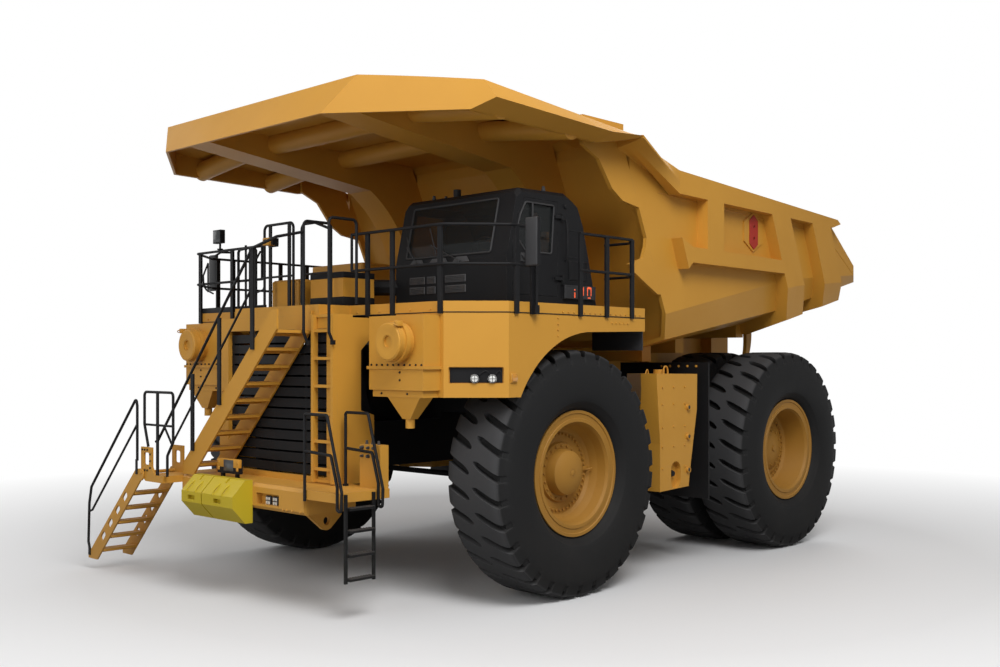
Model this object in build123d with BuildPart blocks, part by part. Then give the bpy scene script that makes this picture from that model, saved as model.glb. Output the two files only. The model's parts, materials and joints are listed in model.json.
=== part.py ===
"""Rigid-frame mining dump truck: frame, running gear, hoist, access, cab and dump body.

Millimetres. +X is the truck's left side, -Y its nose, +Z up, floor at Z = 0.
The origin is on the floor under the middle of the whole truck. Distances called
"aft" are measured rearward from the front axle.
"""
from build123d import *
import math
import os

os.makedirs("parts", exist_ok=True)

# ---------------------------------------------------------------- driving dimensions
overall_front = 6440          # nose of the boarding stair's rail, ahead of the origin
front_axle_to_nose = 3665     # front axle back from that nose
wheelbase = 5820
tyre_radius = 1710
tyre_width = 1020
tread_half = 450
rim_flange_radius = 874
bead_seat_radius = 724
rim_half_width = 375
flange_thickness = 32
seat_gap = 0.3                # between curved faces of one body
running_gap = 6               # between pieces that move past each other
front_wheel_x = 2890          # centre plane of each front tyre
rear_outer_x = 2890           # centre plane of each outer rear tyre
dual_spacing = 1200

front_axle_y = -overall_front + front_axle_to_nose
rear_axle_y = front_axle_y + wheelbase
hub_z = tyre_radius
wheel_top_z = 2 * tyre_radius
rear_inner_x = rear_outer_x - dual_spacing
sides = (("left", 1), ("right", -1))

# frame rails
rail_x = 690                  # centre of each rail
rail_width = 240
rail_outer_x = rail_x + rail_width / 2
rail_bottom_z = hub_z + 40    # ahead of the rear arch
rail_top_z = hub_z + 690
rail_rear_bottom_z = hub_z + 770
rail_rear_top_z = hub_z + 1380
frame_front = -2450           # aft of the front axle
frame_rear = wheelbase + 1830
# deck
deck_top_z = wheel_top_z + 610
deck_edge_x = 3450
deck_depth = 140
deck_front = -2160
deck_rear = 1330
deck_underside_z = deck_top_z - deck_depth
# dump body
body_pivot_aft = wheelbase + 1330
body_pivot_z = hub_z + 1190
body_pivot_radius = 80
body_side_x = 3270            # outside of the side walls
body_rail_x = 3470            # outside of the top rails
body_wall = 60
canopy_x = 3740
# kingpins and steering
kingpin_x = 1900
steer_arm = 620               # rearward reach of each steering arm
# hoist
hoist_x = 1000
hoist_foot_aft = wheelbase - 1770
hoist_foot_z = hub_z + 40
hoist_eye_aft = wheelbase - 1070
hoist_eye_z = hub_z + 1540
rod_radius = 100
stage_radius = rod_radius + 31
barrel_radius = stage_radius + 24
slide_clearance = 0.5
pin_clearance = 0.5


def aft(distance):
    """Y of a place this far behind the front axle."""
    return front_axle_y + distance


def side_outline(points):
    """Closed polygon of (aft of front axle, height) points, for planes that face along X."""
    with BuildLine() as outline:
        Polyline(*[(aft(y), z) for y, z in points], close=True)
    return outline.line


def finish(builder, label):
    """Name a finished piece and write it."""
    builder.part.label = label
    export_step(builder.part, f"parts/{label}.step")


def add_box(x_range, aft_range, z_range, mode=Mode.ADD):
    """A block between two X, two aft-of-front-axle and two Z values."""
    (x0, x1), (a0, a1), (z0, z1) = x_range, aft_range, z_range
    centre = ((x0 + x1) / 2, aft((a0 + a1) / 2), (z0 + z1) / 2)
    with Locations(centre):
        Box(abs(x1 - x0), abs(a1 - a0), abs(z1 - z0), mode=mode)


def add_tube(points, radius, bend):
    """A round tube along (x, aft, z) points with one bend radius at every corner."""
    spots = [(x, aft(y), z) for x, y, z in points]
    with BuildLine(mode=Mode.PRIVATE) as path:
        if len(spots) > 2:
            FilletPolyline(*spots, radius=bend)
        else:
            Line(*spots)
    start = Plane(origin=path.line @ 0, z_dir=path.line % 0)
    with BuildSketch(start, mode=Mode.PRIVATE) as section:
        Circle(radius)
    sweep(sections=section.sketch, path=path.line)


def add_cylinder(centre, direction, radius, length, mode=Mode.ADD):
    """A round bar from an (x, aft, z) centre along a direction."""
    x, y, z = centre
    plane = Plane(origin=(x, aft(y), z), z_dir=direction)
    with BuildSketch(plane, mode=Mode.PRIVATE) as section:
        Circle(radius)
    extrude(to_extrude=section.sketch, amount=length, mode=mode)


def add_plate(points, x0, thickness, mode=Mode.ADD):
    """A plate that faces along X, from an (aft, z) outline, growing toward +X."""
    with BuildSketch(Plane.YZ.offset(x0), mode=Mode.PRIVATE) as section:
        add(side_outline(points))
        make_face()
    extrude(to_extrude=section.sketch, amount=thickness, mode=mode)


# ================================================================ wheels
bead_half = rim_half_width - flange_thickness
sidewall_widest_radius = 0.74 * tyre_radius
shoulder_drop = 40
shoulder_run = 90
hub_bore = 250
hub_clearance = 0.5
axle_bore = 300
drum_wall = 85                # hub drum wall round the bores


def build_tyre(label, centre_x_list, axle_y):
    """Tyres on one axis, one solid for each centre plane."""
    shoulder = tyre_radius - shoulder_drop
    with BuildPart() as tyre:
        for centre_x in centre_x_list:
            plane = Plane(origin=(centre_x, axle_y, hub_z), x_dir=(1, 0, 0), z_dir=(0, -1, 0))
            with BuildSketch(plane):
                with BuildLine():
                    for side in (-1, 1):
                        foot = (side * bead_half, rim_flange_radius + 20)
                        Line((side * bead_half, bead_seat_radius + seat_gap), foot)
                        widest = (side * tyre_width / 2, sidewall_widest_radius)
                        ThreePointArc(foot, widest, (side * tread_half, shoulder))
                        Line(
                            (side * tread_half, shoulder),
                            (side * (tread_half - shoulder_run), tyre_radius),
                        )
                    Line((shoulder_run - tread_half, tyre_radius), (tread_half - shoulder_run, tyre_radius))
                    Line(
                        (-bead_half, bead_seat_radius + seat_gap),
                        (bead_half, bead_seat_radius + seat_gap),
                    )
                make_face()
            revolve(axis=Axis((centre_x, axle_y, hub_z), (1, 0, 0)))
    finish(tyre, label)


def build_rims(label, rims, axle_y, bore, bore_depth):
    """Rims on one axis; rows are centre plane, outward direction, disc offset, closed by a cover."""
    drum = bore + drum_wall
    with BuildPart() as rim:
        for centre_x, outward, disc, covered in rims:
            plane = Plane(origin=(centre_x, axle_y, hub_z), x_dir=(outward, 0, 0), z_dir=(0, -outward, 0))
            with BuildSketch(plane):
                with BuildLine():
                    Polyline(
                        (disc, bore),
                        (disc, 620),
                        (-120, 650),
                        (-rim_half_width, 690),
                        (-rim_half_width, rim_flange_radius),
                        (-bead_half, rim_flange_radius),
                        (-bead_half, bead_seat_radius),
                        (bead_half, bead_seat_radius),
                        (bead_half, rim_flange_radius),
                        (rim_half_width, rim_flange_radius),
                        (rim_half_width, rim_flange_radius - 40),
                        (rim_half_width - 15, rim_flange_radius - 50),
                        (rim_half_width - 15, rim_flange_radius - 106),
                        (rim_half_width - 3, rim_flange_radius - 114),
                        (rim_half_width - 3, rim_flange_radius - 158),
                        (rim_half_width - 45, rim_flange_radius - 180),
                        (200, 672),
                        (disc + 110, 630),
                        (disc + 70, 590),
                        (disc + 70, drum + 90),
                        (disc + 110, drum + 70),
                        (disc + 110, drum),
                    )
                    if covered:
                        cover = disc + bore_depth
                        Line((disc + 110, drum), (cover, drum - 30))
                        ThreePointArc((cover, drum - 30), (cover + 50, 0.6 * drum), (cover + 76, 70))
                        Polyline((cover + 76, 70), (cover + 76, 0), (cover, 0), (cover, bore), (disc, bore))
                    else:
                        Polyline((disc + 110, drum), (disc + 110, bore), (disc, bore))
                make_face()
            revolve(axis=Axis((centre_x, axle_y, hub_z), (1, 0, 0)))
    finish(rim, label)


front_disc = -20
front_bore_depth = 250
rear_disc = -130
rear_bore_depth = 150
for side, sign in sides:
    build_tyre(f"tyre_front_{side}", [sign * front_wheel_x], front_axle_y)
    front_rims = [(sign * front_wheel_x, sign, front_disc, True)]
    build_rims(f"rim_front_{side}", front_rims, front_axle_y, hub_bore, front_bore_depth)
    build_tyre(f"tyres_rear_{side}", [sign * rear_outer_x, sign * rear_inner_x], rear_axle_y)
    rear_rims = [
        (sign * rear_outer_x, sign, rear_disc, True),
        (sign * rear_inner_x, sign, rear_disc, False),
    ]
    build_rims(f"rims_rear_{side}", rear_rims, rear_axle_y, axle_bore, rear_bore_depth)

# ================================================================ front suspension and steering
strut_foot_z = hub_z - 460
strut_mouth_z = hub_z + 450
strut_top_z = hub_z + 1590
strut_rod_radius = 170
strut_wall = 60
strut_housing_radius = strut_rod_radius + strut_wall
strut_rod_top_z = hub_z + 880
knuckle_body_radius = strut_rod_radius + 100
spindle_end_x = front_wheel_x + front_disc + front_bore_depth - 50
steer_pin_radius = 42
steer_arm_top_z = hub_z - 330
tie_rod_z = hub_z - 270
tie_rod_radius = 45
tie_eye_radius = steer_pin_radius + 53
for side, sign in sides:
    kingpin = (sign * kingpin_x, front_axle_y)
    with BuildPart() as knuckle:
        with BuildSketch(Plane.XY.offset(strut_foot_z)):
            with Locations(kingpin):
                Circle(strut_rod_radius)
        extrude(amount=strut_rod_top_z - strut_foot_z)
        with BuildSketch(Plane.XY.offset(strut_foot_z)):
            with Locations(kingpin):
                Circle(knuckle_body_radius)
        extrude(amount=700)
        plane = Plane(
            origin=(sign * kingpin_x, front_axle_y, hub_z),
            x_dir=(sign, 0, 0),
            z_dir=(0, -sign, 0),
        )
        with BuildSketch(plane):
            with BuildLine():
                Polyline(
                    (0, 0),
                    (0, 300),
                    (knuckle_body_radius + 60, 300),
                    (knuckle_body_radius + 130, 430),
                    (knuckle_body_radius + 250, 430),
                    (knuckle_body_radius + 250, hub_bore - hub_clearance),
                    (spindle_end_x - kingpin_x, hub_bore - hub_clearance),
                    (spindle_end_x - kingpin_x, 0),
                    close=True,
                )
            make_face()
        revolve(axis=Axis((sign * kingpin_x, front_axle_y, hub_z), (1, 0, 0)))
        arm_span = (sign * (kingpin_x - 110), sign * (kingpin_x + 110))
        add_box(arm_span, (0, steer_arm + 90), (steer_arm_top_z - 120, steer_arm_top_z))
        add_cylinder((sign * kingpin_x, steer_arm, steer_arm_top_z), (0, 0, 1), steer_pin_radius, 130)
    finish(knuckle, f"knuckle_{side}")

with BuildPart() as tie_rod:
    inset = tie_eye_radius - 25
    add_cylinder(
        (inset - kingpin_x, steer_arm, tie_rod_z),
        (1, 0, 0),
        tie_rod_radius,
        2 * (kingpin_x - inset),
    )
    for side, sign in sides:
        add_cylinder((sign * kingpin_x, steer_arm, tie_rod_z - 55), (0, 0, 1), tie_eye_radius, 110)
        bore = steer_pin_radius + pin_clearance
        add_cylinder((sign * kingpin_x, steer_arm, tie_rod_z - 60), (0, 0, 1), bore, 120, Mode.SUBTRACT)
finish(tie_rod, "tie_rod")

with BuildPart() as strut_housings:
    for side, sign in sides:
        mouth = (sign * kingpin_x, 0, strut_mouth_z)
        add_cylinder(mouth, (0, 0, 1), strut_housing_radius, strut_top_z - strut_mouth_z)
        add_cylinder(mouth, (0, 0, 1), strut_housing_radius + 35, 110)
        rod_room = strut_rod_top_z + 10 - strut_mouth_z
        add_cylinder(mouth, (0, 0, 1), strut_rod_radius + hub_clearance, rod_room, Mode.SUBTRACT)
finish(strut_housings, "strut_housings")

# ================================================================ frame
frame_tubes = (  # aft, z, radius
    (-2200, rail_bottom_z + 290, 210),
    (2300, rail_bottom_z + 320, 210),
    (hoist_foot_aft, hoist_foot_z + 250, 160),
    (body_pivot_aft + 50, body_pivot_z - 160, 170),
)
hoist_pin_radius = 60
front_post_top_z = deck_underside_z - 290
with BuildPart() as main_frame:
    for side, sign in sides:
        rail_outline = [
            (frame_front, rail_bottom_z),
            (wheelbase - 2320, rail_bottom_z),
            (wheelbase - 1120, rail_rear_bottom_z),
            (frame_rear, rail_rear_bottom_z),
            (frame_rear, body_pivot_z - 120),
            (body_pivot_aft + 190, body_pivot_z - 60),
            (body_pivot_aft - 150, rail_rear_top_z),
            (wheelbase - 1520, rail_rear_top_z),
            (wheelbase - 2620, rail_top_z),
            (-1600, rail_top_z),
            (-1950, front_post_top_z),
            (frame_front, front_post_top_z),
        ]
        add_plate(rail_outline, sign * rail_x - rail_width / 2, rail_width)
        inner = sign * rail_outer_x
        outer = sign * (kingpin_x - strut_housing_radius + 40)
        add_box((inner, outer), (-260, 260), (strut_mouth_z + 340, strut_top_z - 100))
        add_box((sign * (rail_x - rail_width / 2), inner), (-260, 260), (rail_top_z, strut_top_z - 100))
    for tube_aft, tube_z, tube_radius in frame_tubes:
        add_cylinder((-rail_x, tube_aft, tube_z), (1, 0, 0), tube_radius, 2 * rail_x)
    for side, sign in sides:
        strut_mouth = (sign * kingpin_x, 0, strut_mouth_z)
        add_cylinder(strut_mouth, (0, 0, 1), strut_housing_radius + seat_gap, 1400, Mode.SUBTRACT)
        pin_start = (sign * rail_x, hoist_foot_aft, hoist_foot_z)
        add_cylinder(pin_start, (sign, 0, 0), hoist_pin_radius, hoist_x + 70 - rail_x)
        boss_span = (sign * (rail_x - 60), sign * (rail_x + 60))
        add_box(
            boss_span,
            (hoist_foot_aft - 200, hoist_foot_aft + 200),
            (hoist_foot_z - 150, rail_top_z - 100),
        )
        add_box((sign * 250, sign * 300), (2200, 2460), (rail_bottom_z - 350, rail_bottom_z + 200))
        add_box(
            (sign * 270, sign * 530),
            (body_pivot_aft - 550, body_pivot_aft + 50),
            (body_pivot_z - 150, body_pivot_z),
        )
finish(main_frame, "main_frame")

pivot_pin_length = 230
with BuildPart() as body_pivot_pins:
    for side, sign in sides:
        start = (sign * rail_outer_x, body_pivot_aft, body_pivot_z)
        add_cylinder(start, (sign, 0, 0), body_pivot_radius, pivot_pin_length)
finish(body_pivot_pins, "body_pivot_pins")

deck_beam_depth = 200
deck_beams = ((-2100, 2800), (950, deck_edge_x - 60))   # aft, half width
post_foot_z = rail_top_z - 300
deck_beam_z = deck_underside_z - deck_beam_depth
with BuildPart() as deck_supports:
    for side, sign in sides:
        for post_aft, post_x in ((-2100, 860), (950, 830)):
            add_box(
                (sign * post_x, sign * (post_x + 150)),
                (post_aft, post_aft + 150),
                (rail_top_z, deck_beam_z),
            )
            add_box(
                (sign * rail_outer_x, sign * post_x),
                (post_aft, post_aft + 150),
                (post_foot_z, deck_beam_z),
            )
    for beam_aft, beam_half in deck_beams:
        add_box((-beam_half, beam_half), (beam_aft, beam_aft + 150), (deck_beam_z, deck_underside_z))
finish(deck_supports, "deck_supports")

with BuildPart() as engine_block:
    add_box((-570, 570), (-1450, 2050), (rail_top_z - 100, rail_top_z + 1100))
    with BuildSketch(Plane.XZ.offset(-aft(-1450))):
        with Locations((0, rail_top_z + 560)):
            Circle(500)
    extrude(amount=330)
finish(engine_block, "engine_block")

tow_eye_x = 1140
tow_eye_aft = -2700
tow_eye_z = 1130
tow_eye_radius = 55
tow_plate = 60
bumper_half = 1470
bumper_front = -3300
bumper_z = (1280, 1620)
lamp_pocket = (420, 930)      # x range in the bumper's left half
with BuildPart() as front_bumper:
    add_box((-bumper_half, bumper_half), (bumper_front, frame_front), bumper_z)
    upper = [
        e for e in front_bumper.edges() if abs(e.center().Y - aft(bumper_front)) < 1 and e.length > 2000
    ]
    chamfer(upper, length=45)
    for x0, x1 in (lamp_pocket, (-lamp_pocket[1] - 250, -lamp_pocket[0] - 250)):
        add_box((x0, x1), (bumper_front - 10, bumper_front + 90), (1350, 1500), Mode.SUBTRACT)
    for side, sign in sides:
        eye_back = tow_eye_aft + 250
        plate = [
            (tow_eye_aft - 320, 1300),
            (tow_eye_aft - 320, 1240),
            (tow_eye_aft - 110, 1060),
            (eye_back - 140, 1060),
        ]
        add_plate(plate + [(eye_back, 1190), (eye_back, 1300)], sign * tow_eye_x - tow_plate / 2, tow_plate)
        start = (sign * tow_eye_x - tow_plate / 2, tow_eye_aft, tow_eye_z)
        add_cylinder(start, (1, 0, 0), 125, tow_plate)
        start = (sign * tow_eye_x - tow_plate / 2 - 10, tow_eye_aft, tow_eye_z)
        add_cylinder(start, (1, 0, 0), tow_eye_radius, tow_plate + 20, Mode.SUBTRACT)
finish(front_bumper, "front_bumper")

guard_half = 1410
guard_front = -2710
guard_opening = 1180
guard_top_z = deck_underside_z
with BuildPart() as radiator_guard:
    add_box((-guard_half, guard_half), (guard_front, frame_front), (bumper_z[1], guard_top_z))
    add_box(
        (-guard_opening, guard_opening),
        (guard_front - 10, frame_front - 10),
        (1700, 3700),
        Mode.SUBTRACT,
    )
    add_box(
        (-guard_half + 90, guard_half - 90),
        (guard_front + 70, frame_front + 10),
        (1640, 3790),
        Mode.SUBTRACT,
    )
    for side, sign in sides:
        flank = [
            (frame_front, bumper_z[1]),
            (-2080, bumper_z[1]),
            (-2080, 2530),
            (-2310, 2600),
            (-2310, 3410),
            (-2110, 3600),
            (-2110, guard_top_z - 40),
            (frame_front, guard_top_z - 40),
        ]
        add_plate(flank, sign * (guard_half - 20) - 20, 40)
finish(radiator_guard, "radiator_guard")

louvre_pitch = 150
louvre_count = 13
with BuildPart() as radiator_grille:
    for louvre in range(louvre_count):
        with BuildSketch(Plane.XY.offset(1725 + louvre * louvre_pitch)):
            with BuildLine():
                Polyline(
                    (-guard_opening, aft(guard_front + 66)),
                    (0, aft(guard_front + 6)),
                    (guard_opening, aft(guard_front + 66)),
                    (guard_opening, aft(guard_front + 150)),
                    (0, aft(guard_front + 90)),
                    (-guard_opening, aft(guard_front + 150)),
                    close=True,
                )
            make_face()
        extrude(amount=louvre_pitch - 30)
    for post_x in (-guard_opening / 2, guard_opening / 2):
        post_aft = (guard_front + 100, guard_front + 160)
        add_box((post_x - 30, post_x + 30), post_aft, (1725, 1725 + louvre_count * louvre_pitch - 30))
    for side, sign in sides:
        span = (sign * (guard_opening - 40), sign * (guard_opening + 60))
        add_box(
            span,
            (guard_front + 80, guard_front + 160),
            (1725, 1725 + louvre_count * louvre_pitch - 30),
        )
finish(radiator_grille, "radiator_grille")

axle_end_x = rear_outer_x + rear_disc + rear_bore_depth - 30
banjo_radius = 740
spring_seat_aft = wheelbase + 900
with BuildPart() as rear_axle_housing:
    plane = Plane(origin=(0, rear_axle_y, hub_z), x_dir=(1, 0, 0), z_dir=(0, -1, 0))
    with BuildSketch(plane):
        with BuildLine():
            for sign in (-1, 1):
                ThreePointArc(
                    (0, banjo_radius),
                    (sign * 0.6 * banjo_radius, 0.86 * banjo_radius),
                    (sign * banjo_radius, 480),
                )
                Polyline(
                    (sign * banjo_radius, 480),
                    (sign * (rear_inner_x - 440), 430),
                    (sign * (rear_inner_x + rear_disc - 60), 560),
                    (sign * (rear_inner_x + rear_disc - 40), axle_bore - hub_clearance),
                    (sign * axle_end_x, axle_bore - hub_clearance),
                    (sign * axle_end_x, 0),
                    (0, 0),
                )
        make_face()
    revolve(axis=Axis((0, rear_axle_y, hub_z), (1, 0, 0)))
    add_box((-250, 250), (2240, wheelbase), (hub_z - 310, hub_z + 10))
    add_box((-530, 530), (wheelbase + 400, spring_seat_aft + 130), (hub_z + 90, hub_z + 240))
finish(rear_axle_housing, "rear_axle_housing")

with BuildPart() as rear_struts:
    for side, sign in sides:
        seat = (sign * 400, spring_seat_aft, hub_z + 240)
        add_cylinder(seat, (0, 0, 1), 120, body_pivot_z - 150 - hub_z - 240)
        add_cylinder(seat, (0, 0, 1), 150, 380)
finish(rear_struts, "rear_struts")

# ================================================================ fenders, decks and front end
fender_bottom_z = deck_top_z - 1230
fender_wall = 60
fender_inner_x = 1950
chamfer_run = 585
arch_back = 1500
deck_seam_aft = -620            # butt joint across the right deck's plates
deck_seam = 8                   # its width and depth
for side, sign in sides:
    with BuildPart() as fender:
        with BuildSketch(Plane.XY.offset(fender_bottom_z)):
            with BuildLine():
                Polyline(
                    (sign * fender_inner_x, aft(deck_front)),
                    (sign * (deck_edge_x - chamfer_run), aft(deck_front)),
                    (sign * deck_edge_x, aft(deck_front + chamfer_run)),
                    (sign * deck_edge_x, aft(deck_rear)),
                    (sign * (deck_edge_x - fender_wall), aft(deck_rear)),
                    (sign * (deck_edge_x - fender_wall), aft(deck_front + chamfer_run + 25)),
                    (sign * (deck_edge_x - chamfer_run - 25), aft(deck_front + fender_wall)),
                    (sign * fender_inner_x, aft(deck_front + fender_wall)),
                    close=True,
                )
            make_face()
        extrude(amount=deck_underside_z - fender_bottom_z)
        with BuildSketch(Plane.YZ.offset(sign * 3000 - 600)):
            with BuildLine():
                Line((aft(-1344), fender_bottom_z - 100), (aft(-1344), fender_bottom_z + 10))
                ThreePointArc(
                    (aft(-1344), fender_bottom_z + 10),
                    (aft(-790), wheel_top_z - 20),
                    (aft(60), wheel_top_z + 244),
                )
                Polyline(
                    (aft(60), wheel_top_z + 244),
                    (aft(arch_back), wheel_top_z + 280),
                    (aft(arch_back), fender_bottom_z - 100),
                    (aft(-1344), fender_bottom_z - 100),
                )
            make_face()
        extrude(amount=1200, mode=Mode.SUBTRACT)
        pocket_middle = (
            sign * (deck_edge_x - chamfer_run / 2),
            aft(deck_front + chamfer_run / 2),
            fender_bottom_z + 285,
        )
        with BuildSketch(Plane(origin=pocket_middle, x_dir=(sign, 1, 0), z_dir=(sign, -1, 0))):
            RectangleRounded(700, 210, 20)
        extrude(amount=-45, mode=Mode.SUBTRACT)
        shelf = (sign * fender_inner_x, sign * (deck_edge_x - chamfer_run - 30))
        add_box(
            shelf,
            (deck_front + fender_wall, deck_front + 280),
            (fender_bottom_z, fender_bottom_z + 30),
        )
    finish(fender, f"fender_{side}")

    with BuildPart() as deck:
        with BuildSketch(Plane.XY.offset(deck_underside_z)):
            with BuildLine():
                Polyline(
                    (sign * 1000, aft(deck_front)),
                    (sign * (deck_edge_x - chamfer_run), aft(deck_front)),
                    (sign * deck_edge_x, aft(deck_front + chamfer_run)),
                    (sign * deck_edge_x, aft(deck_rear)),
                    (sign * 1000, aft(deck_rear)),
                    close=True,
                )
            make_face()
        extrude(amount=deck_depth)
        if side == "right":
            add_box(
                (-deck_edge_x, -1000),
                (deck_seam_aft, deck_seam_aft + deck_seam),
                (deck_top_z - deck_seam, deck_top_z),
                mode=Mode.SUBTRACT,
            )
    finish(deck, f"deck_{side}")

    with BuildPart() as air_cleaner:
        drum_middle = (sign * 2390, deck_front - 520, deck_top_z - 520)
        add_cylinder(drum_middle, (0, 1, 0), 245, 420)
        add_cylinder((drum_middle[0], drum_middle[1] + 90, drum_middle[2]), (0, 1, 0), 272, 60)
        housing_z = (fender_bottom_z + 90, deck_underside_z - 40)
        add_box((sign * 1750, sign * 2800), (deck_front - 290, deck_front), housing_z)
        add_box(
            (sign * 1720, sign * 2830),
            (deck_front - 310, deck_front),
            (fender_bottom_z + 360, fender_bottom_z + 400),
        )
        add_box(
            (sign * 1790, sign * 2760),
            (deck_front - 260, deck_front),
            (fender_bottom_z, fender_bottom_z + 90),
        )
        with BuildSketch(Plane.XY.offset(fender_bottom_z)):
            with Locations((sign * 2390, aft(deck_front - 140))):
                Rectangle(620, 230)
        with BuildSketch(Plane.XY.offset(fender_bottom_z - 280)):
            with Locations((sign * 2390, aft(deck_front - 140))):
                Rectangle(150, 130)
        loft(ruled=True)
        add_cylinder((sign * 2390, deck_front - 140, fender_bottom_z - 400), (0, 0, 1), 60, 140)
        add_cylinder(
            (drum_middle[0], drum_middle[1] - 1, drum_middle[2]), (0, 1, 0), 75, 120, Mode.SUBTRACT,
        )
    finish(air_cleaner, f"air_cleaner_{side}")

with BuildPart() as deck_centre:
    add_box((-1000, 1000), (guard_front, deck_rear), (deck_underside_z, deck_top_z))
finish(deck_centre, "deck_centre")

# ================================================================ cab
cab_x0 = 900
cab_x1 = 3100
cab_wall = 70
cab_base_z = deck_top_z
hinge_x = cab_x1 + 30
hinge_aft = -150
hinge_zs = (cab_base_z + 370, cab_base_z + 1220)
hinge_pin_radius = 10
door_gap = 6


def cab_outline(inset):
    """Side view of the cab, each face moved inward by the inset."""
    foot = cab_base_z + inset
    return [
        (-1240 + inset, foot),
        (-1240 + inset, cab_base_z + 620),
        (-1040 + inset, cab_base_z + 1490 - inset / 2),
        (-960 + inset, cab_base_z + 1550 - inset),
        (-40 - inset / 2, cab_base_z + 1570 - inset),
        (170 - inset, cab_base_z + 1470 - inset / 2),
        (330 - inset, cab_base_z + 1140),
        (640 - inset, foot),
    ]


door_outline = [  # aft, height above the deck
    (-1130, 120),
    (-1130, 850),
    (-1030, 1200),
    (-900, 1430),
    (-210, 1430),
    (-210, 120),
]
door_window = [(-1070, 900), (-985, 1190), (-880, 1370), (-290, 1370), (-345, 700), (-880, 700)]


def on_deck(points):
    """Outline points with their heights counted from the deck."""
    return [(y, cab_base_z + z) for y, z in points]


with BuildPart() as cab_shell:
    add_plate(cab_outline(0), cab_x0, cab_x1 - cab_x0)
    upper = [
        e for e in cab_shell.edges() if e.center().Z > cab_base_z + 1480 and abs(e.center().X - 2000) > 900
    ]
    chamfer(upper, length=55)
    add_plate(cab_outline(cab_wall), cab_x0 + cab_wall, cab_x1 - cab_x0 - 2 * cab_wall, Mode.SUBTRACT)
    add_box((1100, 2800), (-1300, -900), (cab_base_z + 680, cab_base_z + 1430), Mode.SUBTRACT)
    add_plate(on_deck(door_outline), cab_x1 - cab_wall - 5, cab_wall + 10, Mode.SUBTRACT)
    add_plate(on_deck(door_window), cab_x0 - 5, cab_wall + 10, Mode.SUBTRACT)
    add_box((1250, 2750), (150, 700), (cab_base_z + 700, cab_base_z + 1120), Mode.SUBTRACT)
    add_box((1900, 2750), (-1171, -960), (cab_base_z + cab_wall, cab_base_z + 600))
    add_box((1950, 2400), (-300, 100), (cab_base_z + cab_wall, cab_base_z + 330))
    add_box((cab_x1, cab_x1 + 45), (-120, 560), (cab_base_z + 100, cab_base_z + 290))
    for hinge_z in hinge_zs:
        for lug_z in (hinge_z - 45, hinge_z + 25):
            add_box((cab_x1, hinge_x + 20), (hinge_aft - 20, hinge_aft + 20), (lug_z, lug_z + 20))
        add_cylinder((hinge_x, hinge_aft, hinge_z - 40), (0, 0, 1), hinge_pin_radius, 80)
finish(cab_shell, "cab_shell")

with BuildPart() as cab_glass:
    screen = [(-1228, 680), (-1056, 1430), (-1032, 1430), (-1204, 680)]
    add_plate(on_deck(screen), 1100, 1700)
    add_plate(on_deck(door_window), cab_x0 + 20, 20)
    rear_glass = [(444, 701), (330, 1119), (310, 1119), (424, 701)]
    add_plate(on_deck(rear_glass), 1250, 1500)
finish(cab_glass, "cab_glass")

with BuildPart() as cab_door:
    add_plate(on_deck(door_outline), cab_x1 - 60, 60)
    add_box(
        (cab_x1 - 100, cab_x1 + 50),
        (-1200, -1130 + door_gap),
        (cab_base_z, cab_base_z + 860),
        Mode.SUBTRACT,
    )
    add_box(
        (cab_x1 - 100, cab_x1 + 50),
        (-210 - door_gap, 0),
        (cab_base_z, cab_base_z + 1500),
        Mode.SUBTRACT,
    )
    add_box(
        (cab_x1 - 100, cab_x1 + 50),
        (-1200, 0),
        (cab_base_z, cab_base_z + 120 + door_gap),
        Mode.SUBTRACT,
    )
    add_box(
        (cab_x1 - 100, cab_x1 + 50),
        (-1200, 0),
        (cab_base_z + 1430 - door_gap, cab_base_z + 1500),
        Mode.SUBTRACT,
    )
    for low, high in (((-1130, 850), (-1030, 1200)), ((-1030, 1200), (-900, 1430))):
        reach = [low, high, (high[0] + 8, high[1] - 2), (low[0] + 8, low[1] - 2)]
        add_plate(on_deck(reach), cab_x1 - 70, 80, Mode.SUBTRACT)
    add_plate(on_deck(door_window), cab_x1 - 70, 80, Mode.SUBTRACT)
    for hinge_z in hinge_zs:
        add_box((cab_x1, hinge_x + 6), (-300, hinge_aft), (hinge_z - 20, hinge_z + 20))
        add_cylinder((hinge_x, hinge_aft, hinge_z - 20), (0, 0, 1), 18, 40)
        add_box(
            (cab_x1 - 10, hinge_x - 12),
            (-206, hinge_aft + 30),
            (hinge_z - 30, hinge_z + 30),
            Mode.SUBTRACT,
        )
        add_cylinder(
            (hinge_x, hinge_aft, hinge_z - 50),
            (0, 0, 1),
            hinge_pin_radius + pin_clearance,
            100,
            Mode.SUBTRACT,
        )
finish(cab_door, "cab_door")

with BuildPart() as driver_seat:
    add_box((1900, 2450), (-350, 130), (cab_base_z + 330, cab_base_z + 480))
    back = [(-10, 480), (40, 1150), (150, 1150), (130, 480)]
    add_plate(on_deck(back), 1920, 510)
finish(driver_seat, "driver_seat")

# ================================================================ access
stair_front = -3300
stair_width = 585
stair_plate = 30
stair_rise = 235
board_front = -3650
board_width = 600
board_plate = 25
board_hinge_x = -2040
board_hinge_z = 1620
board_pin_radius = 25
board_pitch = 240
bracket_plate = 30
landing_top_z = 1600
with BuildPart() as front_stairs:
    for plate_aft in (stair_front, stair_front + stair_width - stair_plate):
        with BuildSketch(Plane.XZ.offset(-aft(plate_aft))):
            with BuildLine():
                Polyline(
                    (-1450, bumper_z[1]),
                    (-1180, bumper_z[1]),
                    (880, 3690),
                    (880, 3950),
                    (770, 3950),
                    (-1450, 1780),
                    close=True,
                )
            make_face()
        extrude(amount=-stair_plate)
    for step in range(9):
        x = -1250 + step * stair_rise
        z = 1760 + step * stair_rise
        tread_aft = (stair_front + stair_plate, stair_front + stair_width - stair_plate)
        add_box((x, x + 230), tread_aft, (z, z + 40))
        add_box((x, x + 20), tread_aft, (z - 40, z + 40))
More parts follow.
